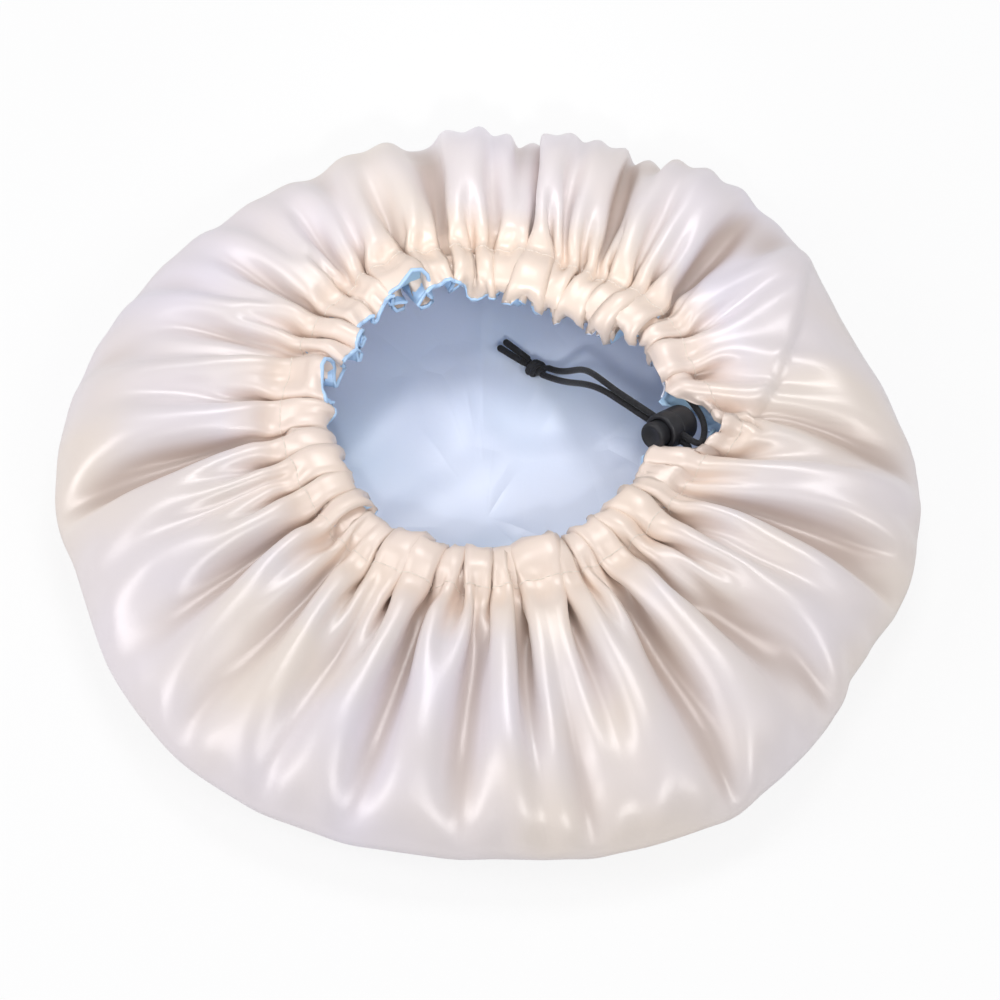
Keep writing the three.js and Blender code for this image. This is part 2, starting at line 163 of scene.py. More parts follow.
# One stitch: its length, its thread and how high that lies over the cloth from end to end.
STITCH_LENGTH = 3.0
STITCH_HUMP = [-0.12, 0.08, 0.16, 0.16, 0.08, -0.12]
THREAD_RADIUS = 0.2

# Radius of the outline every 15 degrees and of the opening every 30, as shares of their own radius.
OUTLINE_SHARES = [
    1.0, 0.97, 0.96, 1.02, 1.03, 1.01, 1.0, 1.0, 0.98, 0.99, 0.995, 1.0,
    1.0, 0.97, 0.99, 1.01, 1.01, 1.0, 0.995, 1.02, 1.04, 1.02, 0.98, 1.0,
]
OPENING_SHARES = [1.0, 1.06, 0.94, 0.97, 1.02, 0.98, 1.02, 1.0, 1.03, 0.98, 1.0, 1.03]

# The gathers in order round the opening: the angle of each ridge, how far its outer end swings
# round the outline, how tall it stands, and the same for the valley after it: how deep it is
# pulled in and how far out it runs, as a share of the way from the stitches to the outline.
GATHER_SHARES = [
    [1.4, -2, 0.2, 0.3, 0.5], [20, 1, 0.3, 0.4, 0.5], [32, 5, 1.0, 1.1, 0.95],
    [42, 9, 0.8, 0.7, 0.6], [52, 9, 1.1, 1.0, 0.85], [63, 7, 0.7, 1.2, 0.9],
    [74, 4, 0.8, 0.8, 1.05], [85, 0, 0.8, 0.9, 0.9], [97, -3, 0.8, 1.0, 0.8],
    [110, -4, 0.9, 0.8, 0.6], [123, -4, 1.2, 0.8, 0.5], [137, -2, 1.1, 0.9, 0.75],
    [151, 1, 0.9, 1.0, 0.6], [165, 3, 1.0, 1.1, 0.95], [180, 4, 0.6, 1.3, 1.05],
    [194, 3, 0.8, 1.0, 0.85], [208, 2, 1.0, 1.1, 0.8], [222, 2, 1.2, 1.0, 0.9],
    [236, 2, 1.0, 1.0, 1.0], [249, 0, 0.9, 1.3, 1.05], [262, -2, 1.1, 1.0, 0.75],
    [274, -3, 0.8, 1.3, 0.85], [285, -3, 1.1, 1.0, 1.0], [296, -1, 1.0, 1.3, 0.95],
    [307, 1, 1.1, 1.0, 1.1], [318, 4, 1.0, 1.0, 0.95], [330, 5, 0.9, 1.3, 1.0],
    [344.8, 2, 0.2, 0.5, 0.9],
]
GATHERS = len(GATHER_SHARES)
GATHER_PITCH = FULL / GATHERS
FINE_GATHERS = 39
CINCHED_FOLDS = 36
STEEPEST = 1.9
gather_table = np.array(GATHER_SHARES, float)
gather_shift = gather_table[:, 0] - np.arange(GATHERS) * GATHER_PITCH

# The wide folds of the belly: the angle of each ridge, seen from the opening, and how deep the
# valley after it is.
WIDE_SHARES = [
    [10, 0.4], [28, 1.0], [53, 0.9], [76, 0.8], [93, 0.9], [112, 0.6], [128, 0.6],
    [144, 0.8], [158, 1.0], [175, 1.2], [206, 0.7], [222, 0.8], [236, 1.2], [247, 1.3],
    [260, 1.1], [274, 1.4], [292, 1.6], [308, 1.6], [327, 1.5], [346, 0.9],
]
wide_table = np.array(WIDE_SHARES, float)

# The flap beside the notch lies over the cloth behind it: points of its edge, as plan angles and
# distances from the opening's middle, how thick it is, how sharp its edge is and how far in it
# fades.
FLAP_SHARES = [
    [-6, 88], [-1, 97], [5, 106], [11, 113], [16, 119], [21, 126], [26, 133], [31, 141],
    [34, 150],
]
FLAP_RISE = 3.4
FLAP_EDGE = 0.5
FLAP_FADE = 24.0

# Creases across the flat of the lining, as plan points in millimetres, and their size.
CREASE_LINES = [
    [[6, 86], [19, 66], [34, 38], [48, 22]],
    [[-2, 100], [-2, 52]],
    [[26, 61], [57, 38]],
    [[-26, 18], [-5, 62]],
    [[-5, 38], [14, -19]],
]
CREASE_RISE = 1.3
CREASE_WIDTH = 10.0

# Rows of the ring between the stitches and the outline: how far out, how high between the belly
# and the rim, and which way the cloth faces: 0 up, 1 outwards, 2 down.
RING_SHARES = [
    [0.15, 1.03, 0.0],
    [0.42, 1.02, 0.05],
    [0.76, 0.84, 0.3],
    [0.94, 0.44, 0.65],
]

# Rows of the belly and the crown: share of the outline's radius, of the belly's height, and facing.
floor_share = FLOOR_RADIUS / 164.0
LOW_SHARES = [
    [1.0, 1.0, 1.0],
    [0.5 + 0.5 * floor_share, 0.3, 1.4],
    [floor_share, 0.0, 2.0],
    [0.6 * floor_share, 0.0, 2.0],
    [0.002, 0.0, 2.0],
]

# Steps of the fine grid between those rows, from the frill's edge to the middle of the crown. The
# first nine of them reach the floor.
ROW_STEPS = [8, 7, 8, 11, 13, 8, 5, 4, 4, 7, 9]
FLOOR_STEP = 9
EDGE_ROW = 0
CASING_ROW = 8
STITCH_ROW = 15

STRETCH_PULL = 0.9
SHEAR_PULL = 0.35
BEND_SPAN = 1.98
BEND_PULL = 0.03
ROW_SMOOTHING = 0.12

# The layers of cloth that are already made, by their settings.
layers_made = {}

# Each satin's roughness, metallic share and height of its creases, in metres. The lining's cloth is
# also rolled round the frill's edge.
OUTER_GLOSS = (0.36, 0.05, 0.15 * MM)
LINING_GLOSS = (0.42, 0.03, 0.8 * MM)
LINING_CLOTH = "light_blue_polyester_satin"


def to_linear(code):
    """Linear colour values of an sRGB hex code such as "e6dad4"."""
    values = np.array([int(code[k : k + 2], 16) for k in (0, 2, 4)]) / 255
    return tuple(np.where(values <= 0.04045, values / 12.92, ((values + 0.055) / 1.055) ** 2.4))


def turned(degrees):
    """Unit vectors in plan at these angles from +X."""
    angle = np.radians(degrees)
    return np.stack([np.cos(angle), np.sin(angle), np.zeros_like(angle)], axis=-1)


def raised(degrees, rise):
    """A unit vector at this plan angle, raised above the floor by the second angle."""
    return turned(degrees) * math.cos(math.radians(rise)) + UP * math.sin(math.radians(rise))


def unit(vectors):
    """The vectors divided by their lengths."""
    return vectors / np.maximum(np.linalg.norm(vectors, axis=-1, keepdims=True), 1e-12)


def around(ring, place):
    """A smooth value on a closed ring of numbers, a Catmull-Rom curve; place counts along it."""
    ring = np.asarray(ring, float)
    first = np.floor(place).astype(int)
    t = place - first
    a, b, c, d = (ring[(first + k) % len(ring)] for k in (-1, 0, 1, 2))
    return b + 0.5 * t * (c - a + t * (2 * a - 5 * b + 4 * c - d + t * (3 * (b - c) + d - a)))


def signed(degrees):
    """Angles brought between -180 and 180 degrees."""
    return (degrees + FULL / 2) % FULL - FULL / 2


def waves(phase, times, start):
    """The sine of 2 pi * phase * times / gathers + start, which repeats this many times round the
    ring, for places counted in gathers."""
    return np.sin(2 * math.pi * phase * times / GATHERS + start)


def bump(distance, width):
    """1 at no distance, falling to 0 at the width as the square of a cosine."""
    return np.cos(np.clip(np.abs(distance) / width, 0, 1) * math.pi / 2) ** 2


def smooth_step(low, high, value):
    """0 below low, 1 above high and the smooth cubic 3t^2 - 2t^3 between."""
    t = np.clip((value - low) / (high - low), 0, 1)
    return t * t * (3 - 2 * t)


def spread(rows, steps):
    """The rows smoothed round the ring by this many rounds of averaging with their neighbours."""
    for _ in range(steps):
        rows = 0.5 * rows + 0.25 * (np.roll(rows, 1, axis=1) + np.roll(rows, -1, axis=1))
    return rows


def high_pass(rows, cycles):
    """The rows without what repeats fewer than this many times round the ring."""
    spectrum = np.fft.rfft(rows, axis=1)
    order = np.arange(spectrum.shape[1])
    spectrum *= np.clip((order - cycles / 2) / (cycles / 2), 0, 1)
    return np.fft.irfft(spectrum, n=rows.shape[1], axis=1)


def bezier(a, b, c, d, steps):
    """Points of a cubic Bezier curve, both ends included."""
    t = np.linspace(0, 1, steps + 1)[:, None]
    return a * (1 - t) ** 3 + 3 * b * t * (1 - t) ** 2 + 3 * c * t**2 * (1 - t) + d * t**3


def run_along(path):
    """Distance along a path to each of its points."""
    return np.concatenate([[0], np.cumsum(np.linalg.norm(np.diff(path, axis=0), axis=-1))])


def spaced(path, count):
    """The same line as evenly spaced points, by linear interpolation along its length."""
    run = run_along(path)
    place = np.linspace(0, run[-1], count)
    return np.stack([np.interp(place, run, path[:, k]) for k in range(3)], axis=-1), run[-1]


def wide_phase(degrees):
    """A place counted in wide folds: whole numbers at their ridges and straight between."""
    ridges = wide_table[:, 0]
    ridges = np.concatenate([ridges[-1:] - FULL, ridges, ridges[:1] + FULL])
    return np.interp((degrees - ridges[0]) % FULL + ridges[0], ridges, np.arange(len(ridges)) - 1.0)


def ridge_angle(phase):
    """Plan angle of a place counted in gathers."""
    return phase * GATHER_PITCH + around(gather_shift, phase)


def from_notch(degrees):
    """Degrees between an angle and the notch."""
    return np.abs((degrees - NOTCH_ANGLE + 1.5 * FULL) % FULL - FULL / 2)


def in_notch(degrees):
    """1 at the notch's middle, falling to 0 at its sides."""
    return np.maximum(0, 1 - (from_notch(degrees) / NOTCH_HALF_ANGLE) ** 1.2)


def mouth_open(degrees):
    """1 where the casing's two layers part round the cord ends, 0 where they are sewn together."""
    share = (MOUTH_HALF_ANGLE - from_notch(degrees)) / (MOUTH_HALF_ANGLE - NOTCH_HALF_ANGLE)
    return np.clip(share, 0, 1)


def standing(degrees):
    """1 where the frill stands open and shows the lining in its loops, 0 where it curls down."""
    return smooth_step(88, 108, degrees) * smooth_step(185, 165, degrees)


def flap_pull(degrees):
    """How far the frill's edge is drawn back above the notch, where the cord lock slides past."""
    angle = signed(degrees)
    return FLAP_PULL * smooth_step(-6, 4, angle) * smooth_step(48, 22, angle)


def rim_level(shape, degrees):
    """Height of the gathered rim, higher at the back and a little lower at the notch."""
    facing = np.maximum(0, turned(degrees - NOTCH_ANGLE)[..., 0])
    return shape.rim_height / MM + RIM_TILT * turned(degrees)[..., 1] - NOTCH_DIP * facing**6


def opening_radius(shape, degrees):
    """Radius of the frill's edge before its scallops."""
    return shape.opening_radius / MM * around(OPENING_SHARES, degrees / FULL * len(OPENING_SHARES))


def cord_ring_radius(shape, degrees):
    """Radius of the drawcord, which bulges outwards behind the cord lock."""
    near = np.clip(from_notch(degrees) / PUSH_HALF_ANGLE, 0, 1)
    push = np.cos(near * math.pi / 2) ** 2
    return opening_radius(shape, degrees) + shape.frill_width / MM + CORD_PUSH * push


def outline_points(shape, phase, share):
    """Points of the outline that the gathers' outer ends reach, at a share of its radius."""
    outline = shape.outline_radius / MM
    degrees = ridge_angle(phase)
    lean = np.degrees(np.arcsin(OPENING[1] / outline * turned(degrees)[..., 0]))
    degrees = degrees + lean + around(gather_table[:, 1], phase)
    radius = outline * around(OUTLINE_SHARES, degrees / FULL * len(OUTLINE_SHARES))
    return turned(degrees) * (radius * share)[..., None]


def plan_place(points):
    """Plan angles of points, between -180 and 180 degrees, and distances from the opening's
    middle."""
    off = points - OPENING
    return np.degrees(np.arctan2(off[..., 1], off[..., 0])), np.hypot(off[..., 0], off[..., 1])


def hermite_rows(points, steps):
    """Smooth rows through rows of points: cubic pieces whose slopes are those of the parabola
    through each three neighbours, spaced by the mean distance between the rows."""
    gaps = np.linalg.norm(np.diff(points, axis=0), axis=-1).mean(axis=1)
    slopes = np.diff(points, axis=0) / gaps[:, None, None]
    inner = (slopes[:-1] * gaps[1:, None, None] + slopes[1:] * gaps[:-1, None, None]) / (
        gaps[1:] + gaps[:-1]
    )[:, None, None]
    tangents = np.concatenate([slopes[:1], inner, slopes[-1:]])
    rows, places = [], []
    start = 0.0
    for k, count in enumerate(steps):
        for t in np.arange(count + (k == len(steps) - 1)) / count:
            a, b = points[k], points[k + 1]
            m0, m1 = tangents[k] * gaps[k], tangents[k + 1] * gaps[k]
            rows.append(
                (2 * t**3 - 3 * t**2 + 1) * a
                + (t**3 - 2 * t**2 + t) * m0
                + (3 * t**2 - 2 * t**3) * b
                + (t**3 - t**2) * m1
            )
            places.append(start + t * gaps[k])
        start += gaps[k]
    return np.array(rows), np.array(places)


def curled_line(line, way, inwards, dropped):
    """Rows of points that lie these distances inwards of a line and below it."""
    return line - way[None] * inwards[..., None] - UP * dropped[..., None]


def frill_edge(shape, degrees, phase):
    """Radius of the frill's edge, with the notch and uneven scallops, how far it is drawn back and
    how uneven it is."""
    ragged = 1.8 * waves(phase, 11, 0.3) + 1.4 * waves(phase, 17, 1.9)
    ragged = 1.5 + ragged * (1 - mouth_open(degrees))
    open_share = in_notch(degrees)
    pull = flap_pull(degrees)
    edge = opening_radius(shape, degrees) + NOTCH_DEPTH * open_share
    return edge + (ragged + pull) * (1 - open_share), pull, ragged


def macro_rows(shape, phase):
    """The bag without its gathers: rows of points midway between the layers, how the cloth faces
    at each row, and each row's distance outwards from the stitches."""
    degrees = ridge_angle(phase)
    level = rim_level(shape, degrees)
    belly = shape.belly_height / MM
    way = turned(degrees)
    edge, pull, ragged = frill_edge(shape, degrees, phase)
    casing = np.maximum(cord_ring_radius(shape, degrees), edge + NOTCH_HEM)
    stitch = casing + shape.casing_width / MM
    lift = shape.frill_lift / MM * (1 - mouth_open(degrees))
    rows = []
    for radius, height in ((edge, level + lift), (casing, level), (stitch, level)):
        rows.append(OPENING + way * radius[:, None] + UP * height[:, None])
    sides = [0.3, 0.15, 0.0]
    reach = outline_points(shape, phase, 1.0)
    start = OPENING + way * stitch[:, None]
    for out, up, side in RING_SHARES:
        point = start + (reach - start) * out
        rows.append(point + UP * (belly + (level - belly) * up)[:, None])
        sides.append(side)
    for out, up, side in LOW_SHARES:
        rows.append(outline_points(shape, phase, out) + UP * belly * up)
        sides.append(side)
    points, places = hermite_rows(np.array(rows), ROW_STEPS)
    knots = np.concatenate([[0], np.cumsum(ROW_STEPS)])
    side = np.interp(np.arange(len(points)), knots, sides)
    side = np.repeat(side[:, None], len(phase), axis=1)

    # Where the frill doesn't stand open it runs level and then curls down round an arc.
    level_run = FRILL_FLAT - pull
    curl = 0.58 + 0.12 * waves(phase, 5, 2.6) + 0.08 * waves(phase, 8, 0.9)
    width = level_run + FRILL_CURL * math.pi * curl + 0.8 * ragged
    run = np.linspace(1, 0, CASING_ROW + 1)[:, None] * width
    angle = (run - level_run).clip(0) / FRILL_CURL
    inwards = np.minimum(run, level_run) + FRILL_CURL * np.sin(angle)
    dropped = FRILL_CURL * (1 - np.cos(angle))
    curled = curled_line(points[CASING_ROW], way, inwards, dropped)
    share = (1 - standing(degrees)) * (1 - mouth_open(degrees))
    frill = slice(0, CASING_ROW + 1)
    points[frill] += (curled - points[frill]) * share[None, :, None]
    side[frill] += (-angle * 2 / math.pi - side[frill]) * share
    return points, side, places - places[STITCH_ROW]


def bent_share():
    """How much a strip bent into sine-generated folds shortens, for slopes from 0 to 2.2 radians:
    the mean cosine of the slope, which is a Bessel function, as two columns to look it up in."""
    swing = np.linspace(0, 2.2, 90)
    turn = np.linspace(0, 2 * math.pi, 181)[:-1]
    return np.cos(swing[:, None] * np.sin(turn)[None]).mean(axis=1), swing


def fold_sizes(phase, places, plan):
    """How strongly three kinds of fold show in each place: fine gathers at the casing, the named
    gathers behind it, each as tall, deep and long as its own, and the belly's wide folds."""
    near = places[:, None]
    knots = [-19, -8, 0, 7, 14, 24, 38, 52, 66, 80, 120]
    fine = np.interp(near, knots, [1.0, 1.0, 1.0, 0.8, 0.45, 0.12, 0.02, 0.0, 0.0, 0.0, 0.0])
    named = np.interp(near, knots, [0.1, 0.1, 0.2, 0.5, 0.85, 1.0, 0.9, 0.75, 0.55, 0.3, 0.1])
    wide = np.interp(near, knots, [0.0, 0.0, 0.1, 0.15, 0.2, 0.35, 0.6, 0.85, 1.0, 1.0, 1.0])
    fine = fine * (1 + 0.35 * waves(phase, 9, 1.3) + 0.3 * waves(phase, 16, 4.0))
    own = 0.5 * (around(gather_table[:, 2], phase) + around(gather_table[:, 3], phase - 0.5))
    long = around(gather_table[:, 4], phase - 0.5)
    own = own[None] ** 1.6 * smooth_step(1.3, 0.5, near.clip(0) / (100 * long[None]))
    named = named * (1 + (own - 1) * smooth_step(-5, 12, near))
    wide = wide * around(wide_table[:, 1], wide_phase(plan) - 0.5)
    return fine, named, wide


def fullness(places, sizes):
    """Share of the cut's fullness that shows in each place: much of what is gathered at the casing
    is flattened there, and cloth is drawn towards the large folds from between them."""
    knots = [-8, 0, 20, 50, 75, 100, 130]
    share = np.interp(places[:, None], knots, [0.68, 0.6, 0.4, 0.34, 0.45, 0.6, 0.5])
    size = sum(part**2 for part in sizes)
    usual = size.mean(axis=1, keepdims=True)
    return share * (0.25 + 0.75 * np.minimum(size / usual, 2.6))


def fold_rows(phase, places, plan, sizes, spacing, cut):
    """How far the gathers push each point sideways and how far they lift it. The cloth of a column
    is longer than the column is wide, so the slope swings as a sine of the distance, which is the
    line that a bent strip takes. How wide it swings follows from the two lengths, and it is shared
    out between fine gathers, the named ones and wide folds."""
    turn = 2 * math.pi * phase
    near = places[:, None]
    uneven = 0.17 * waves(phase, 7, 0.7) + 0.1 * waves(phase, 13, 2.1)
    uneven = uneven + 0.07 * waves(phase, 19, 5.0)
    fine_turn = 2 * math.pi * (phase * FINE_GATHERS / GATHERS + uneven)
    wide_turn = 2 * math.pi * wide_phase(plan)
    bend = 0.5 * np.sin(near / 19 + turn * 4 / GATHERS) * smooth_step(0, 20, near)
    fine, named, wide = sizes
    parts = [
        fine * np.sin(fine_turn + 0.4 * np.sin(fine_turn) + bend),
        -named * np.sin(turn - 0.5 * np.sin(turn) + 0.4 * bend),
        -wide * np.sin(wide_turn - 0.4 * np.sin(wide_turn)),
    ]
    power = np.sqrt(sum(part**2 for part in sizes))
    share, swing = bent_share()
    wanted = np.interp(-(spacing / cut), -share, swing)
    slope = np.clip(sum(parts) / power * wanted, -STEEPEST, STEEPEST)
    along = np.cos(slope) * cut
    drift = along - spacing * (along.sum(axis=1) / spacing.sum(axis=1))[:, None]
    sideways = high_pass(np.cumsum(drift, axis=1), 9)
    lifted = high_pass(np.cumsum(np.sin(slope) * cut, axis=1), 9)
    return sideways, lifted


def creased(points):
    """How far the lining's creases lift these points: a soft ridge along each crease, which the
    cloth keeps from having been folded."""
    rise = np.zeros(points.shape[:-1])
    for line in CREASE_LINES:
        line = np.array(line, float)
        nearest = np.full(points.shape[:-1], np.inf)
        for start, end in zip(line[:-1], line[1:]):
            way = end - start
            share = ((points[..., :2] - start) @ way / (way @ way)).clip(0, 1)
            off = points[..., :2] - start - share[..., None] * way
            nearest = np.minimum(nearest, np.hypot(off[..., 0], off[..., 1]))
        rise = np.maximum(rise, CREASE_RISE * np.exp(-nearest * 3 / CREASE_WIDTH))
    return rise


def flap_step(plan, distance):
    """The step of the flap's edge, h = rise * e^(-d / fade) / (1 + e^(-d / edge)), where d is how
    far inside the edge a point lies; it fades out past both ends of the edge."""
    edge = np.array(FLAP_SHARES, float)
    angle = signed(plan)
    inside = np.interp(angle, edge[:, 0], edge[:, 1]) - distance
    first, last = edge[0, 0], edge[-1, 0]
    ends = smooth_step(first - 5, first + 4, angle) * smooth_step(last + 6, last - 4, angle)
    sharp = 1 + np.exp(np.clip(-inside / FLAP_EDGE, -30, 30))
    return FLAP_RISE * np.exp(-np.maximum(inside, 0) / FLAP_FADE) / sharp * ends


def pulled(first, second, rest, strength):
    """Moves two sets of points towards their rest distance, each half of the way."""
    span = second - first
    length = np.sqrt((span * span).sum(axis=-1, keepdims=True))
    move = span * (0.5 * strength * (1 - rest[..., None] / np.maximum(length, 1e-6)))
    return first + move, second - move


def relaxed(points, across, down, base, hold, finest, cinched, rounds):
    """The cloth come to rest: a closed grid of points is pulled, round after round, towards the
    distances of the flat cut along its rows, its columns and its diagonals, and is kept from
    bending sharply, while its wide shape stays on the base. hold is how firmly each row stays, and
    finest how many folds go round each row at most, which is the cloth's stiffness. Where the cord
    and its stitches have cinched a row, only folds narrower than CINCHED_FOLDS round it remain."""
    columns = points.shape[1]
    slant = np.hypot((across[:-1] + across[1:]) / 2, down)
    keep = np.asarray(hold)[:, None, None]
    order = np.arange(columns // 2 + 1)[None]
    level = 0.5 * (order < 9) + 0.5 * smooth_step(0.8, 1.6, order / np.asarray(finest)[:, None])
    level = np.maximum(level, np.asarray(cinched)[:, None] * smooth_step(CINCHED_FOLDS, 9, order))
    for _ in range(rounds):
        for shift in (0, 1):
            points = np.roll(points, -shift, axis=1)
            rest = np.roll(across, -shift, axis=1)
            one, two = pulled(points[:, 0::2], points[:, 1::2], rest[:, 0::2], STRETCH_PULL)
            points[:, 0::2], points[:, 1::2] = one, two
            points = np.roll(points, shift, axis=1)
        for start in (0, 1):
            upper, lower = points[start:-1:2], points[start + 1 :: 2]
            one, two = pulled(upper, lower, down[start::2], STRETCH_PULL)
            for side in (1, -1):
                other = np.roll(two, -side, axis=1)
                one, other = pulled(one, other, slant[start::2], SHEAR_PULL)
                two = np.roll(other, side, axis=1)
            points[start:-1:2], points[start + 1 :: 2] = one, two
        ahead = np.roll(points, -2, axis=1)
        one, two = pulled(points, ahead, across * BEND_SPAN, BEND_PULL)
        points = one + np.roll(two - ahead, 2, axis=1)
        points[1:-1] += ROW_SMOOTHING * (points[:-2] - 2 * points[1:-1] + points[2:])
        off = points - base
        levelled = np.fft.rfft(off, axis=1) * level[..., None]
        points = points - np.fft.irfft(levelled, n=columns, axis=1)
        points = points - off * keep
    return points


def row_normals(rows):
    """Normals of a closed grid, from the difference across columns and down rows."""
    across = np.roll(rows, -1, axis=1) - np.roll(rows, 1, axis=1)
    down = np.gradient(rows, axis=0)
    normal = unit(np.cross(down, across))
    normal[-1] = normal[-2].mean(axis=0)
    return unit(normal)


def relaxed_cloth(shape, phase):
    """The middle surface of both layers come to rest, the bag without its gathers under it, which
    way each point of that faces, as a direction and as a share of the turn from up to down, and
    each row's distance outwards from the stitches."""
    columns = len(phase)
    degrees = ridge_angle(phase)
    base, side, places = macro_rows(shape, phase)
    turn = (side * math.pi / 2)[..., None]
    outward = unit(outline_points(shape, phase, 1.0))
    facing = outward[None] * np.sin(turn) + UP * np.cos(turn)
    tangent = unit(np.roll(base, -1, axis=1) - np.roll(base, 1, axis=1))

    # The frill arches over before its edge, and the cloth has a waist behind the stitches.
    sewn = 1 - mouth_open(degrees)[None, :]
    arch = bump(places + 12.5, 7.0)[:, None] * standing(degrees)
    waist = bump(places - 4, 9.0)[:, None]
    base = base + facing * (2.0 * (arch - waist) * sewn)[..., None]

    # Lengths of the flat cut, a disc: each column's own way in from the frill's edge, and the width
    # of a column at that radius, never less than the room it has.
    down = np.linalg.norm(np.diff(base, axis=0), axis=-1)
    way_in = np.concatenate([np.zeros((1, columns)), np.cumsum(down, axis=0)])
    spacing = spread(np.linalg.norm(np.roll(base, -1, axis=1) - base, axis=-1), 30)
    radius = np.maximum(shape.cut_radius / MM - way_in, 1.0)
    least = 1.008 + 0.13 * smooth_step(20, 70, places) * smooth_step(150, 115, places)
    cut = np.maximum(radius * 2 * math.pi / columns, spacing * least[:, None])
    plan, _ = plan_place(base)
    sizes = fold_sizes(phase, places, plan)
    cut = spacing + (cut - spacing) * shape.gather_strength * fullness(places, sizes)
    sideways, lifted = fold_rows(phase, places, plan, sizes, spacing, cut)
    flat_share = smooth_step(1.85, 1.3, side)
    cloth = base + tangent * (sideways * flat_share)[..., None]
    cloth = cloth + facing * (lifted * flat_share)[..., None]

    # The rows down to the floor come to rest; the crown lies as it is.
    last = sum(ROW_STEPS[:FLOOR_STEP])
    part = slice(0, last + 1)
    hold = np.interp(np.arange(last + 1), [0, last - 16, last - 7, last], [0, 0, 0.005, 1])
    finest = np.interp(places[part], [-8, 10, 40, 100], [220, 150, 90, 70])
    cinched = 0.12 * bump(places[part] + 3, 15.0)
    cloth[part] = relaxed(
        cloth[part],
        cut[part],
        down[:last],
        base[part],
        hold,
        finest,
        cinched,
        shape.rounds,
    )
    cloth[..., 2] = np.maximum(cloth[..., 2], LEAST_HEIGHT)
    step = flap_step(*plan_place(cloth))
    cloth += facing * (step * smooth_step(1.0, 0.3, side))[..., None]
    return cloth, base, facing, side, places


def kept_above(height, least):
    """The height, bent smoothly to the least one where it would go under it, which is the least
    one and half of log(1 + e^(2 * (height - least)))."""
    return least + np.logaddexp(0, (height - least) / 0.5) * 0.5


def parted_layers(shape, phase):
    """Both layers' middle surfaces, the place of each point on the flat cut and how far below the
    folds' middle it lies, in millimetres."""
    cloth, base, facing, side, places = relaxed_cloth(shape, phase)
    thickness = shape.cloth / MM
    opened = mouth_open(ridge_angle(phase))[None, :]

    # The outer layer rises over the cord in its casing and the lining falls under it. Their valleys
    # rest on the cord, so each layer is kept at least the cord's room away.
    room = (shape.cord_diameter / MM) / 2 + CORD_GAP
    over = bump(places - places[CASING_ROW], 8.0)[:, None]
    up = ((cloth - base) * facing).sum(axis=-1)
    swell = spread(np.abs(up), 60)
    parted = (room + MOUTH_SLACK) * opened * smooth_step(0, -8, places)[:, None]
    least = (room + thickness) * smooth_step(0.1, 0.8, over) + parted
    outer_up = up * (1 - 0.3 * over) + over * (room + 0.5 * swell)
    lining_up = -up * (1 - 0.45 * over) + over * (room + 0.4 * swell)
    ease = smooth_step(0.0, 0.3, np.maximum(over, parted))
    outer_up = outer_up + (kept_above(outer_up, least) - outer_up) * ease
    lining_up = lining_up + (kept_above(lining_up, least) - lining_up) * ease

    # Away from the casing the layers lie against each other.
    gap = np.interp(places, [-8, 0, 14, 60], [0.5, 0.5, 0.7, shape.layer_gap / MM])
    apart = row_normals(cloth) * (0.5 * gap)[:, None, None]
    outer = cloth + facing * (outer_up - up)[..., None] + apart
    lining = cloth - facing * (lining_up + up)[..., None] - apart

    # The air between the layers lifts the crown of the lining, and neither sinks into what is
    # under it.
    from_middle = np.linalg.norm(base[..., :2], axis=-1)
    crown = smooth_step(FLOOR_RADIUS, 0.62 * FLOOR_RADIUS, from_middle)
    low = smooth_step(1.6, 2.0, side)
    lining = lining + UP * (crown * low * (CROWN_LIFT + creased(lining)))[..., None]
    rise = 0.2 + thickness - outer[..., 2]
    outer[..., 2] += np.maximum(rise, 0)
    rise = outer[..., 2] + 2 * thickness + 0.15 - lining[..., 2]
    lining[..., 2] += np.maximum(rise, 0) * smooth_step(1.2, 1.8, side)

    angle = np.radians(phase * GATHER_PITCH)
    reach = places[-1] - places
    flat = reach[:, None, None] * np.stack([np.cos(angle), np.sin(angle)], axis=-1)[None]
    return outer, lining, flat, -up


def cloth_layers(shape):
    """The parted layers of these settings, made once and then kept for the other operators."""
    settings = tuple(getattr(shape, name) for name in shape.__annotations__)
    if settings not in layers_made:
        phase = np.arange(shape.columns) * GATHERS / shape.columns
        layers_made[settings] = parted_layers(shape, phase)
    return layers_made[settings]


def grid_faces(rows, columns, start=0, flip=False):
    """Faces of a grid whose columns close into a ring."""
    row, column = np.meshgrid(np.arange(rows - 1), np.arange(columns), indexing="ij")
    following = (column + 1) % columns
    corners = [row * columns + column, (row + 1) * columns + column]
    corners += [(row + 1) * columns + following, row * columns + following]
    faces = np.stack(corners, axis=-1).reshape(-1, 4) + start
    return faces[:, ::-1] if flip else faces


def closed_shell(front, back):
    """A closed sheet from two grids with the same rows: both faces, the wall along their first
    row, and the last rows, which are nearly points, closed by one point each."""
    rows, columns = front.shape[:2]
    points = np.concatenate([front.reshape(-1, 3), back.reshape(-1, 3)])
    offset = rows * columns
    poles = np.array([front[-1].mean(axis=0), back[-1].mean(axis=0)])
    faces = [*grid_faces(rows, columns).tolist(), *grid_faces(rows, columns, offset, True).tolist()]
    here = np.arange(columns)
    following = (here + 1) % columns
    wall = np.stack([here, following, following + offset, here + offset], axis=-1)
    faces += wall.tolist()
    last = (rows - 1) * columns
    top, bottom = len(points), len(points) + 1
    faces += np.stack([here + last, np.full(columns, top), following + last], axis=-1).tolist()
    low = last + offset
    faces += np.stack([following + low, np.full(columns, bottom), here + low], axis=-1).tolist()
    return np.concatenate([points, poles]), faces


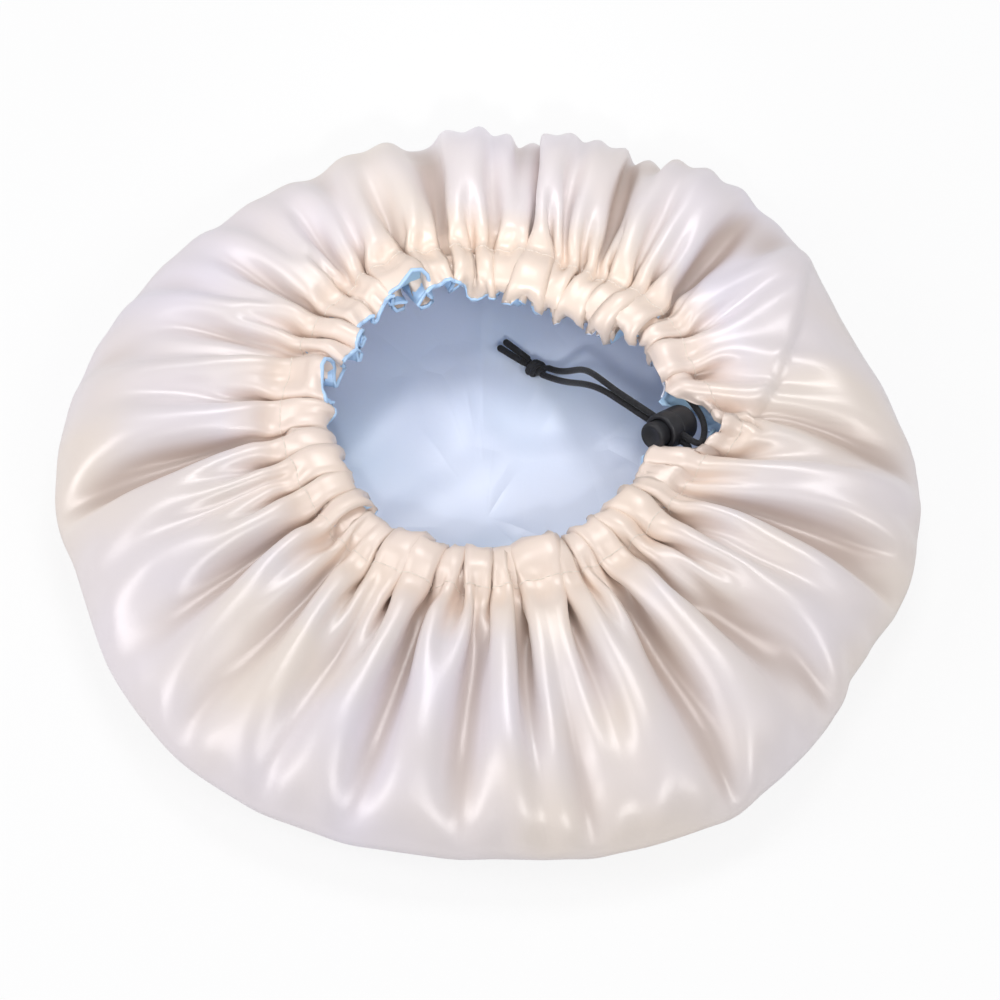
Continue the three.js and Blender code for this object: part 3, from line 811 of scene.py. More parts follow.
def swept(path, radius, sides, across=None):
    """A tube round a path: circles whose first axis is square to the path and level, or square to
    the path and nearest to the given direction. Gives points, faces and, for each point, its
    distance along the path and round the tube. It ends in small domes."""
    path = np.asarray(path, float)
    radius = np.broadcast_to(np.asarray(radius, float), len(path))
    heading = unit(np.gradient(path, axis=0))
    # Four more circles at each end, on a quarter round of the tube's own radius.
    bend = np.radians([12, 38, 62, 80])[:, None]
    before = path[:1] - heading[:1] * radius[0] * np.sin(bend[::-1])
    after = path[-1:] + heading[-1:] * radius[-1] * np.sin(bend)
    path = np.concatenate([before, path, after])
    ends = [radius[0] * np.cos(bend[::-1, 0]), radius[-1] * np.cos(bend[:, 0])]
    radius = np.concatenate([ends[0], radius, ends[1]])
    heading = np.pad(heading, [(4, 4), (0, 0)], "edge")
    if across is None:
        first = np.cross(heading, UP)
    else:
        across = np.pad(across, [(4, 4), (0, 0)], "edge")
        first = across - heading * (across * heading).sum(-1, keepdims=True)
    first = unit(first)
    second = np.cross(heading, first)
    angle = np.arange(sides) / sides * 2 * math.pi
    circle = first[:, None] * np.cos(angle)[None, :, None]
    circle = circle + second[:, None] * np.sin(angle)[None, :, None]
    points = path[:, None] + circle * radius[:, None, None]
    run = run_along(path)[:, None]
    place = np.stack(np.broadcast_arrays(run, angle[None] * radius.max()), axis=-1)
    faces = grid_faces(len(path), sides, flip=True).tolist()
    faces.append(list(range(sides - 1, -1, -1)))
    faces.append([(len(path) - 1) * sides + k for k in range(sides)])
    return points.reshape(-1, 3), faces, place.reshape(-1, 2)


def joined(parts):
    """Several meshes as one: points, faces and flat places."""
    points, faces, places, start = [], [], [], 0
    for part_points, part_faces, part_places in parts:
        points.append(part_points)
        places.append(part_places)
        faces += [[corner + start for corner in face] for face in part_faces]
        start += len(part_points)
    return np.concatenate(points), faces, np.concatenate(places)


def linked(name, data):
    """An object with this data, in the scene."""
    item = bpy.data.objects.new(name, data)
    bpy.context.scene.collection.objects.link(item)
    return item


def placed(name, mesh, body, material):
    """An object of this mesh and material, which rides on a body of the frame."""
    piece = linked(name, mesh)
    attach(piece, body)
    mesh.materials.append(material)
    return piece


def new_piece(name, points, faces, pattern, body, material, depth=None):
    """A smooth piece with these points in millimetres, which rides on a body of the frame. The
    pattern gives each point its place on the flat cloth, in millimetres, as the piece's UV map,
    and depth says how far down in its fold it lies, as the attribute fold_depth."""
    mesh = bpy.data.meshes.new(name)
    mesh.from_pydata((np.asarray(points) * MM).tolist(), [], faces)
    mesh.polygons.foreach_set("use_smooth", np.ones(len(mesh.polygons), bool))
    layer = mesh.uv_layers.new(name="cut")
    loops = np.zeros(len(mesh.loops), np.int32)
    mesh.loops.foreach_get("vertex_index", loops)
    layer.data.foreach_set("uv", (np.asarray(pattern)[loops] * MM).astype(np.float32).ravel())
    if depth is not None:
        layer = mesh.attributes.new("fold_depth", "FLOAT", "POINT")
        layer.data.foreach_set("value", np.asarray(depth, np.float32))
    mesh.update()
    return placed(name, mesh, body, material)


def lock_frame(lock):
    """The cord lock's own axes: along the cords, along the plunger to its button, and from one
    cord to the other; with the point where the cords cross the plunger's axis."""
    cords = raised(lock.tail_angle, -lock.tail_dip)
    level = turned(lock.tail_angle + FULL / 4)
    tilt = math.radians(lock.tilt)
    press = level * math.cos(tilt) + np.cross(cords, level) * math.sin(tilt)
    stack = np.cross(cords, press)
    crossing = OPENING + LOCK_PLACE + press * (lock.barrel_length / MM / 2 - MOUTH_REACH)
    return cords, press, stack, crossing


def strand_paths(shape, lock):
    """Centre lines of the drawcord, of both tails and of both cut ends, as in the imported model."""
    cords, _, stack, crossing = lock_frame(lock)
    barrel = lock.barrel_diameter / MM
    radius = shape.cord_diameter / MM / 2
    knot_centre = OPENING + KNOT_PLACE
    knot_way, knot_across = turned(KNOT_ANGLE), turned(KNOT_ANGLE + FULL / 4)
    arrive = raised(KNOT_ANGLE, -KNOT_DIP)
    entry = crossing - cords * (barrel / 2 + LEAD_GAP)

    def ring(degrees):
        radial = turned(degrees) * cord_ring_radius(shape, degrees)[..., None]
        return OPENING + radial + UP * rim_level(shape, degrees)[..., None]

    # A lead bends from the lock to the ring, a tail runs straight out of the lock and then falls to
    # the knot, and a cut end leaves the knot at its far side.
    leads, tails, ends = [], [], []
    for side, join, reach in ((1, 0.0, 6.0), (-1, LEAD_SPREAD, 3.6)):
        offset = stack * side * CORD_PITCH / 2
        start = entry + offset - cords * (CORD_GAP + radius)
        last = ring(np.array([NOTCH_ANGLE + side * join]))[0]
        heading = unit(ring(np.array([NOTCH_ANGLE + side * (join - 1)]))[0] - last)
        bend = bezier(start, start - cords * reach, last + heading * reach, last, 24)
        leads.append(np.concatenate([[entry + offset - cords * CORD_GAP], bend]))
        begin = entry + offset
        straight = begin + cords * (barrel + LEAD_GAP + STRAIGHT_RUN)
        beside = knot_centre - knot_across * side * TAIL_SPREAD * radius
        end = beside - arrive * (KNOT_LENGTH / 2 + CORD_GAP)
        fall = bezier(straight, straight + cords * FALL_REACH, end - arrive * SETTLE_REACH, end, 60)
        line = begin + (straight - begin) * np.linspace(0, 1, 40, endpoint=False)[:, None]
        tail = np.concatenate([line, fall])
        along = np.linalg.norm(tail - begin, axis=-1)
        bow = bump(along - 0.7 * along[-1], 0.3 * along[-1])
        tails.append(tail + stack * (TAIL_BOW * (side + 0.5) * bow)[:, None])
        out = knot_centre + knot_across * side * END_SPREAD * radius
        root = out + knot_way * (KNOT_LENGTH / 2 + CORD_GAP)
        tip = root + knot_way * END_LENGTH + knot_across * side * radius * 0.4
        ends.append(root + (tip - root) * np.linspace(0, 1, 12)[:, None])
    degrees = NOTCH_ANGLE + np.linspace(0, FULL - LEAD_SPREAD, 720)[1:-1]
    drawcord = np.concatenate([leads[0], ring(degrees), leads[1][::-1]])
    return drawcord, tails, ends, knot_centre


def overhand(share):
    """Centre line of an overhand knot, from one end at 0 to the other at 1, in a box from -1 to 1:
    the cord goes over itself and through its own loop, as the curve t^3-3t, t^4-4t^2, t^5-10t."""
    t = (share * 2 - 1) * 2.05
    x = (t**5 / 5 - 2 * t) / 2.9 + 0.25 * t
    return np.stack([x * 0.8, (t**3 - 3 * t) / 3.0, (t**4 - 4 * t**2 + 2) / 2.2], axis=-1)


def knot_strands(tails, ends, centre, radius):
    """The tubes of both strands through the knot, blended into the tails and the cut ends."""
    way, over = turned(KNOT_ANGLE), turned(KNOT_ANGLE + FULL / 4)
    share = np.linspace(0, 1, KNOT_STEPS)
    arriving = smooth_step(0.13, 0.0, share)[:, None]
    leaving = smooth_step(0.87, 1.0, share)[:, None]
    strands = []
    for side, tail, end in zip((1, -1), tails, ends):
        drift = 1 + 0.12 * side * np.cos(share * 6)
        line = overhand(share) * np.array(KNOT_HALF_SIZE) * drift[:, None]
        line = line + np.array(STRAND_SHIFT) * side
        path = centre + way * line[:, :1] + over * line[:, 1:2] + UP * line[:, 2:]
        path = path * (1 - arriving - leaving) + tail[-1] * arriving + end[0] * leaving
        hint = path - centre + UP * 0.01
        strands.append(swept(path, radius * KNOT_SQUEEZE, 14, across=hint))
    return strands


def turned_solid(profile, sides):
    """A profile of radii and heights turned about the second axis of the lock's frame."""
    profile = np.asarray(profile, float)
    angle = np.arange(sides) / sides * 2 * math.pi
    ring = np.stack([np.cos(angle), np.zeros(sides), np.sin(angle)], axis=-1)
    along = np.array([0, 1.0, 0]) * profile[:, 1, None, None]
    points = ring[None] * profile[:, 0, None, None] + along
    faces = grid_faces(len(profile), sides, flip=True).tolist()
    return points, faces


def quarter(x, y, radius, start, steps):
    """Points of a quarter round about a centre in a profile."""
    angle = np.radians(start + np.linspace(0, 90, steps + 1))
    return [[x + radius * math.cos(a), y + radius * math.sin(a)] for a in angle]


def slot_block(low, high, height, length, steps=8):
    """A block with round corners along the first axis of the lock's frame, to cut a slot with."""
    room = CORD_ROOM
    z = height / 2 - room
    top, bottom = high - room, low + room
    outline = []
    for cz, cy, start in ((z, bottom, -90), (z, top, 0), (-z, top, 90), (-z, bottom, 180)):
        outline += quarter(cz, cy, room, start, steps)
    outline = np.array(outline)
    count = len(outline)
    ends = []
    for x in (-length / 2, length / 2):
        ends.append(np.stack([np.full(count, x), outline[:, 1], outline[:, 0]], axis=-1))
    faces = [[k, (k + 1) % count, count + (k + 1) % count, count + k] for k in range(count)]
    faces.append(list(range(count))[::-1])
    faces.append([count + k for k in range(count)])
    return np.concatenate(ends), faces


def cut_piece(name, profile, tool_points, tool_faces, place, body, edge, material):
    """A turned solid with a slot cut through it, put in its place and its cut edges rounded."""
    meshes = []
    for points, faces in (turned_solid(profile, TURNED_SIDES), (tool_points, tool_faces)):
        mesh = bpy.data.meshes.new(name)
        mesh.from_pydata((np.asarray(points).reshape(-1, 3) * MM).tolist(), [], faces)
        shape = bmesh.new()
        shape.from_mesh(mesh)
        bmesh.ops.remove_doubles(shape, verts=shape.verts, dist=0.01 * MM)
        bmesh.ops.recalc_face_normals(shape, faces=shape.faces)
        shape.to_mesh(mesh)
        shape.free()
        meshes.append(mesh)
    solid, tool = (linked(f"{name}_{k}", mesh) for k, mesh in enumerate(meshes))
    cutter = solid.modifiers.new("slot", "BOOLEAN")
    cutter.operation = "DIFFERENCE"
    cutter.solver = "EXACT"
    cutter.object = tool
    bevel = solid.modifiers.new("edges", "BEVEL")
    bevel.width = edge * MM
    bevel.segments = 3
    bevel.limit_method = "ANGLE"
    bevel.angle_limit = math.radians(35)
    bpy.context.view_layer.update()
    graph = bpy.context.evaluated_depsgraph_get()
    done = bpy.data.meshes.new_from_object(solid.evaluated_get(graph))
    for item in (solid, tool):
        bpy.data.objects.remove(item)
    done.name = name
    cords, press, stack, crossing = place
    turn = Matrix((cords, press, stack)).transposed().to_4x4()
    done.transform(Matrix.Translation(Vector(crossing * MM)) @ turn)
    done.polygons.foreach_set("use_smooth", np.ones(len(done.polygons), bool))
    done.set_sharp_from_angle(angle=math.radians(40))
    return placed(name, done, body, material)


def add_node(tree, kind, settings=None, links=None):
    """Adds a shader node. A setting is the name of one of its attributes or the name or number of
    one of its inputs, and a link is an input and the output of another node that feeds it."""
    node = tree.nodes.new("ShaderNode" + kind)
    for key, value in (settings or {}).items():
        if isinstance(key, str) and hasattr(node, key):
            setattr(node, key, value)
        else:
            node.inputs[key].default_value = value
    for key, output in (links or {}).items():
        tree.links.new(output, node.inputs[key])
    return node


def blank_material(name):
    """A material with an empty node tree."""
    material = bpy.data.materials.new(name)
    material.use_nodes = True
    material.node_tree.nodes.clear()
    return material, material.node_tree


def satin_material(name, colours, cut, roughness, metallic, facet):
    """Polyester satin: smooth floats of warp thread, which give long soft highlights across the
    folds, a slight change of hue between the lit and the turned threads, and fine streaks along
    the warp. Its colours are the plain, cool and warm ones, the painted bounce light and shade of
    the crowded gathers near the edge of the cut, whose radius is given, and the painted shade of
    the valleys. facet is how high the creases of its flat parts stand, in metres."""
    plain, cool, warm, gathers, valleys = colours
    material, tree = blank_material(name)
    place = add_node(tree, "UVMap", {"uv_map": "cut"}).outputs["UV"]
    solid = add_node(tree, "TexCoord").outputs["Object"]
    # Threads lie 0.1 mm apart, too fine to show, so streaks 0.7 mm apart and 40 mm long are drawn.
    threads = (1 / (0.7 * MM), 1 / (40 * MM), 1.0)
    warp = add_node(tree, "Mapping", {"Scale": threads}, {"Vector": place})
    streak = add_node(
        tree,
        "TexNoise",
        {"Scale": 1.0, "Detail": 3.0, "Roughness": 0.6},
        {"Vector": warp.outputs["Vector"]},
    )
    # Hue drifts over patches about 60 mm wide, from lilac-white to warm cream.
    drift = add_node(
        tree,
        "TexNoise",
        {"Scale": 1 / (60 * MM), "Detail": 1.5, "Roughness": 0.45},
        {"Vector": solid},
    )
    hue = add_node(tree, "ValToRGB", {}, {"Fac": drift.outputs["Fac"]})
    for stop, at, colour in zip(hue.color_ramp.elements, (0.3, 0.7), (cool, warm)):
        stop.position = at
        stop.color = (*colour, 1)
    hue.color_ramp.elements.new(0.5).color = (*plain, 1)
    # Painted bounce light and shade: from 40 mm before the cut's edge the colour is mixed towards
    # the gathers' tint, which stands in for the light that the crowded cloth throws on its
    # neighbours and the shade between them.
    reach = add_node(tree, "VectorMath", {"operation": "LENGTH"}, {0: place})
    crowded = add_node(
        tree,
        "MapRange",
        {"From Min": cut - 40 * MM, "From Max": cut - 22 * MM, "To Max": 0.75},
        {"Value": reach.outputs["Value"]},
    )
    tinted = add_node(
        tree,
        "Mix",
        {"data_type": "RGBA", 7: (*gathers, 1)},
        {0: crowded.outputs["Result"], 6: hue.outputs["Color"]},
    )
    # Painted shade in the valleys: the colour is mixed towards the valleys' tint as fold_depth
    # grows, which stands in for the shade deep in a fold and for light that has met the cloth more
    # often there.
    fold = add_node(tree, "Attribute", {"attribute_name": "fold_depth"})
    sunk = add_node(
        tree,
        "MapRange",
        {"interpolation_type": "SMOOTHSTEP", "From Min": 0.5, "From Max": 7.5, "To Max": 0.85},
        {"Value": fold.outputs["Fac"]},
    )
    shaded = add_node(
        tree,
        "Mix",
        {"data_type": "RGBA", 7: (*valleys, 1)},
        {0: sunk.outputs["Result"], 6: tinted.outputs[2]},
    )
    # Facets 45 mm wide between creases, where the flat cloth was folded away.
    cells = add_node(
        tree,
        "TexVoronoi",
        {"feature": "DISTANCE_TO_EDGE", "Scale": 1 / (45 * MM), "Randomness": 1.0},
        {"Vector": solid},
    )
    ridge = add_node(
        tree,
        "MapRange",
        {"interpolation_type": "SMOOTHSTEP", "From Max": 0.22, "To Min": 1.0, "To Max": 0.0},
        {"Value": cells.outputs["Distance"]},
    )
    # Soft small creases, 6 mm apart, from wear and folding.
    crease = add_node(
        tree,
        "TexNoise",
        {"Scale": 1 / (6 * MM), "Detail": 2.0, "Roughness": 0.5, "Distortion": 0.4},
        {"Vector": solid},
    )
    # The facets, the creases and the streaks raise the surface, one over the other.
    heights = {"Height": ridge.outputs["Result"]}
    normal = add_node(tree, "Bump", {"Strength": 0.6, "Distance": facet}, heights)
    for pattern, rise in ((crease, 0.6 * MM), (streak, 0.15 * MM)):
        heights = {"Height": pattern.outputs["Fac"], "Normal": normal.outputs["Normal"]}
        normal = add_node(tree, "Bump", {"Strength": 0.12, "Distance": rise}, heights)
    rough = add_node(
        tree,
        "MapRange",
        {"To Min": roughness - 0.05, "To Max": roughness + 0.06},
        {"Value": streak.outputs["Fac"]},
    )
    along = add_node(tree, "Tangent", {"direction_type": "UV_MAP", "uv_map": "cut"})
    surface = add_node(
        tree,
        "BsdfPrincipled",
        {
            "Metallic": metallic,
            "IOR": 1.55,
            "Specular IOR Level": 0.8,
            "Anisotropic": 0.55,
            "Sheen Weight": 0.12,
            "Sheen Roughness": 0.35,
        },
        {
            "Base Color": shaded.outputs[2],
            "Roughness": rough.outputs["Result"],
            "Normal": normal.outputs["Normal"],
            "Tangent": along.outputs["Tangent"],
        },
    )
    add_node(tree, "OutputMaterial", {}, {"Surface": surface.outputs["BSDF"]})
    return material


def braid_material(name, base, light):
    """Braided polyester round a rubber core: fine yarns cross at 45 degrees, which gives a soft
    black with a dull sheen and a fine plaited surface."""
    material, tree = blank_material(name)
    place = add_node(tree, "UVMap", {"uv_map": "cut"}).outputs["UV"]
    # Yarns of 0.5 mm, half as many as in the real braid, so that they show.
    bands = {"bands_direction": "X", "Scale": 1 / (2 * math.pi * 0.5 * MM)}
    yarns = []
    for side in (1, -1):
        slant = {"Rotation": (0, 0, side * math.pi / 4)}
        slanted = add_node(tree, "Mapping", slant, {"Vector": place})
        yarn = add_node(tree, "TexWave", bands, {"Vector": slanted.outputs["Vector"]})
        yarns.append(yarn.outputs["Fac"])
    crossed = add_node(tree, "Math", {"operation": "MAXIMUM"}, {0: yarns[0], 1: yarns[1]})
    grain = {"Scale": 1 / (1.2 * MM), "Detail": 3.0}
    fuzz = add_node(tree, "TexNoise", grain, {"Vector": place})
    colour = add_node(tree, "ValToRGB", {}, {"Fac": fuzz.outputs["Fac"]})
    for stop, at, tint in zip(colour.color_ramp.elements, (0.35, 0.75), (base, light)):
        stop.position = at
        stop.color = (*tint, 1)
    height = add_node(
        tree,
        "Bump",
        {"Strength": 0.5, "Distance": 0.15 * MM},
        {"Height": crossed.outputs[0]},
    )
    surface = add_node(
        tree,
        "BsdfPrincipled",
        {"Roughness": 0.72, "IOR": 1.5, "Sheen Weight": 0.1, "Specular IOR Level": 0.3},
        {"Base Color": colour.outputs["Color"], "Normal": height.outputs["Normal"]},
    )
    add_node(tree, "OutputMaterial", {}, {"Surface": surface.outputs["BSDF"]})
    return material


def moulded_material(name, base, worn):
    """Injection-moulded acetal: a fine spark-eroded grain that scatters the light, and slightly
    lighter rubbed patches."""
    material, tree = blank_material(name)
    solid = add_node(tree, "TexCoord").outputs["Object"]
    # The mould's grain of 0.25 mm, drawn at its real size.
    spark = {"Scale": 1 / (0.25 * MM), "Detail": 2.0}
    grain = add_node(tree, "TexNoise", spark, {"Vector": solid})
    patches = {"Scale": 1 / (4 * MM), "Detail": 4.0, "Roughness": 0.6}
    rubbed = add_node(tree, "TexNoise", patches, {"Vector": solid}).outputs["Fac"]
    colour = add_node(tree, "ValToRGB", {}, {"Fac": rubbed})
    for stop, at, tint in zip(colour.color_ramp.elements, (0.4, 0.8), (base, worn)):
        stop.position = at
        stop.color = (*tint, 1)
    rough = add_node(tree, "MapRange", {"To Min": 0.38, "To Max": 0.55}, {"Value": rubbed})
    height = add_node(
        tree,
        "Bump",
        {"Strength": 0.25, "Distance": 0.05 * MM},
        {"Height": grain.outputs["Fac"]},
    )
    surface = add_node(
        tree,
        "BsdfPrincipled",
        {"IOR": 1.49, "Specular IOR Level": 0.45},
        {
            "Base Color": colour.outputs["Color"],
            "Roughness": rough.outputs["Result"],
            "Normal": height.outputs["Normal"],
        },
    )
    add_node(tree, "OutputMaterial", {}, {"Surface": surface.outputs["BSDF"]})
    return material


def wire_material(name, base):
    """Bright drawn music wire: fine lines along the wire from the drawing die."""
    material, tree = blank_material(name)
    place = add_node(tree, "UVMap", {"uv_map": "cut"}).outputs["UV"]
    drawn = {"Scale": (1 / (3 * MM), 1 / (0.1 * MM), 1)}
    lines = add_node(tree, "Mapping", drawn, {"Vector": place})
    marks = add_node(tree, "TexNoise", {"Scale": 1.0}, {"Vector": lines.outputs["Vector"]})
    rough = add_node(
        tree, "MapRange", {"To Min": 0.2, "To Max": 0.4}, {"Value": marks.outputs["Fac"]}
    )
    surface = add_node(
        tree,
        "BsdfPrincipled",
        {"Base Color": (*base, 1), "Metallic": 1.0},
        {"Roughness": rough.outputs["Result"]},
    )
    add_node(tree, "OutputMaterial", {}, {"Surface": surface.outputs["BSDF"]})
    return material


def thread_material(name, base):
    """Spun polyester sewing thread: two plies twisted together, which show as slanting ribs."""
    material, tree = blank_material(name)
    place = add_node(tree, "UVMap", {"uv_map": "cut"}).outputs["UV"]
    slant = add_node(tree, "Mapping", {"Rotation": (0, 0, 0.7)}, {"Vector": place})
    bands = {"bands_direction": "X", "Scale": 1 / (2 * math.pi * 0.3 * MM)}
    ply = add_node(tree, "TexWave", bands, {"Vector": slant.outputs["Vector"]})
    height = add_node(
        tree, "Bump", {"Strength": 0.5, "Distance": 0.06 * MM}, {"Height": ply.outputs["Fac"]}
    )
    surface = add_node(
        tree,
        "BsdfPrincipled",
        {"Base Color": (*base, 1), "Roughness": 0.6, "IOR": 1.5, "Sheen Weight": 0.15},
        {"Normal": height.outputs["Normal"]},
    )
    add_node(tree, "OutputMaterial", {}, {"Surface": surface.outputs["BSDF"]})
    return material


def metres(name, description, default, least=-1.0):
    """A setting that is a length, in metres."""
    return FloatProperty(
        name=name, description=description, default=default, min=least, unit="LENGTH"
    )


def degree(name, description, default):
    """A setting that is an angle, in degrees."""
    return FloatProperty(name=name, description=description + ", in degrees", default=default)


def shade(name, description, code):
    """A setting that is a colour, given as a hex code."""
    return FloatVectorProperty(
        name=name, description=description, subtype="COLOR", default=to_linear(code)
    )


class BonnetShape(PropertyGroup):
    """Sizes of the two layers of cloth and their gathers."""

    outline_radius: metres("Outline radius", "Radius of the puffed bag seen from above", 0.164, 0.1)
    opening_radius: metres(
        "Opening radius", "Radius of the gathered opening at the frill's edge", 0.059, 0.02
    )
    rim_height: metres("Rim height", "Height of the gathered rim above the floor", 0.046, 0.01)
    belly_height: metres("Belly height", "Height of the widest part of the bag", 0.020, 0.005)
    frill_width: metres(
        "Frill width", "Width of the frill between its edge and the cord", 0.011, 0.004
    )
    frill_lift: metres(
        "Frill lift", "How far the frill's edge stands above the cord where it is open", 0.002
    )
    casing_width: metres(
        "Casing width", "Distance from the cord to the stitches behind it", 0.008, 0.004
    )
    cut_radius: metres(
        "Cut radius", "Radius of the disc that each layer is cut to", 0.285, 0.2
    )
    rounds: IntProperty(
        name="Rounds",
        description="Rounds of pulling by which the cloth comes to rest",
        default=240,
        min=1,
    )
    gather_strength: FloatProperty(
        name="Gather strength",
        description="Share of the cut's fullness that shows as folds, the rest being flattened",
        default=1.0,
        min=0.0,
        max=1.2,
    )
    layer_gap: metres(
        "Layer gap", "Distance between the two layers away from the seams", 0.0011, 0.0008
    )
    cloth: metres("Cloth thickness", "Thickness of one layer of satin", 0.00035, 0.0001)
    cord_diameter: metres("Cord diameter", "Diameter of the elastic drawcord", 0.0025, 0.001)
    columns: IntProperty(
        name="Columns",
        description="Number of grid columns round the cloth",
        default=560,
        min=112,
    )


class BonnetColours(PropertyGroup):
    """Colours of the two satins: the middle, cool and warm ones, and the painted bounce light and
    shade of the crowded gathers and the painted shade of the valleys."""

    outer: shade("Outer satin", "Cream of the outer satin", "e3dada")
    outer_cool: shade("Outer satin, cool", "Lilac-white where the threads turn", "e4dde5")
    outer_warm: shade("Outer satin, warm", "Warm cream patches", "e6dad1")
    # Painted bounce light and shade, mixed into the crowded gathers.
    outer_gathers: shade("Outer satin, gathers", "Peach cream of the gathers", "ecd7c5")
    # Painted shade, mixed into the valleys of the folds.
    outer_valleys: shade("Outer satin, valleys", "Tan grey deep in the folds", "bba89d")
    lining: shade("Lining satin", "Light blue of the lining", "dee7fb")
    lining_cool: shade("Lining satin, cool", "Paler blue where the threads turn", "e4ebfd")
    lining_warm: shade("Lining satin, deep", "Deeper blue patches", "d8e6fa")
    # Painted bounce light and shade, mixed into the crowded gathers.
    lining_gathers: shade("Lining satin, gathers", "Sky blue of the gathers", "9fcaf2")
    # Painted shade, mixed into the valleys of the folds.
    lining_valleys: shade("Lining satin, valleys", "Grey blue deep in the folds", "a6cae2")


class BonnetLock(PropertyGroup):
    """Sizes and pose of the cord lock."""

    barrel_diameter: metres(
        "Barrel diameter", "Outer diameter of the lock's barrel", 0.0145, 0.008
    )
    barrel_length: metres(
        "Barrel length", "Length of the barrel along the plunger", 0.0165, 0.01
    )
    barrel_wall: metres("Barrel wall", "Thickness of the barrel's wall", 0.0018, 0.001)
    plunger_travel: metres("Plunger travel", "How far the plunger's button goes in", 0.0028, 0.001)
    tail_angle: degree("Tail angle", "Plan angle of the cords where they leave the lock", 138.0)
    tail_dip: degree("Tail dip", "How steeply the cords leave the lock downwards", 5.0)
    tilt: degree("Lock tilt", "How far the lock is turned about the cords", 25.0)


class BonnetStage(PropertyGroup):
    """The camera."""

    elevation: degree("Elevation", "Height of the camera above the horizon", 55.0)
    distance: metres("Camera distance", "Distance of the camera from the bonnet", 4.0)
    frame_width: metres("Frame width", "Width that the picture takes in at the bonnet", 0.38)
    frame_side: metres(
        "Frame side shift", "Where the picture's centre lies to the side of the bonnet's", 0.0049
    )
    frame_up: metres(
        "Frame up shift", "Where the picture's centre lies up the picture from the origin", 0.0097
    )


def white_floor():
    """A white floor that keeps part of its shadow before the camera."""
    size = 6.0
    corners = [(-size, -size, 0), (size, -size, 0), (size, size, 0), (-size, size, 0)]
    mesh = bpy.data.meshes.new("floor")
    mesh.from_pydata(corners, [], [(0, 1, 2, 3)])
    linked("floor", mesh)
    material, tree = blank_material("matt_white_paper")
    paper = add_node(tree, "BsdfDiffuse", {"Color": (0.86, 0.86, 0.86, 1)})
    white = add_node(tree, "Emission", {"Color": (1, 1, 1, 1), "Strength": 1.0})
    ray = add_node(tree, "LightPath")
    share = {"operation": "MULTIPLY", 1: 0.85}
    seen = add_node(tree, "Math", share, {0: ray.outputs["Is Camera Ray"]})
    shaders = {0: seen.outputs[0], 1: paper.outputs["BSDF"], 2: white.outputs["Emission"]}
    mixed = add_node(tree, "MixShader", {}, shaders)
    add_node(tree, "OutputMaterial", {}, {"Surface": mixed.outputs["Shader"]})
    mesh.materials.append(material)


def white_room(scene):
    """A dim white room that the camera sees as plain white, through clear things too."""
    world = bpy.data.worlds.new("white_room")
    world.use_nodes = True
    tree = world.node_tree
    tree.nodes.clear()
    room = add_node(tree, "Background", {"Color": (0.97, 0.98, 1, 1), "Strength": 0.55})
    white = add_node(tree, "Background", {"Color": (1, 1, 1, 1), "Strength": 1.0})
    ray = add_node(tree, "LightPath")
    rays = {0: ray.outputs["Is Camera Ray"], 1: ray.outputs["Is Transmission Ray"]}
    seen = add_node(tree, "Math", {"operation": "MAXIMUM"}, rays)
    shaders = {0: seen.outputs[0], 1: room.outputs[0], 2: white.outputs[0]}
    mixed = add_node(tree, "MixShader", {}, shaders)
    add_node(tree, "OutputWorld", {}, {"Surface": mixed.outputs["Shader"]})
    scene.world = world


def hung_lamp(name, kind, place, aim, power):
    """A lamp at a place, turned to shine at the aim."""
    lamp = bpy.data.lights.new(name, kind)
    lamp.energy = power
    holder = linked(name, lamp)
    holder.location = place
    holder.rotation_euler = (Vector(place) - aim).to_track_quat("Z", "Y").to_euler()
    return lamp


def stitch_tubes(layer, side, cloth):
    """The stitches on one face of a layer of cloth, each a short tube that dips in at its ends."""
    normal = row_normals(layer)[STITCH_ROW]
    line = layer[STITCH_ROW] + normal * side * cloth / 2
    loop = np.concatenate([line, line[:1]])
    outwards = np.concatenate([normal, normal[:1]]) * side
    run = run_along(loop)
    hump = np.array(STITCH_HUMP)
    steps = len(hump)
    stitches = round(run[-1] / STITCH_LENGTH)
    dense, _ = spaced(loop, stitches * steps + 1)
    at = np.linspace(0, run[-1], stitches * steps + 1)
    lift = np.stack([np.interp(at, run, outwards[:, k]) for k in range(3)], axis=-1)
    tubes = []
    for k in range(stitches):
        part = slice(steps * k, steps * (k + 1))
        path = dense[part] + lift[part] * hump[:, None]
        tubes.append(swept(path, THREAD_RADIUS, 6, across=lift[part]))
    return tubes


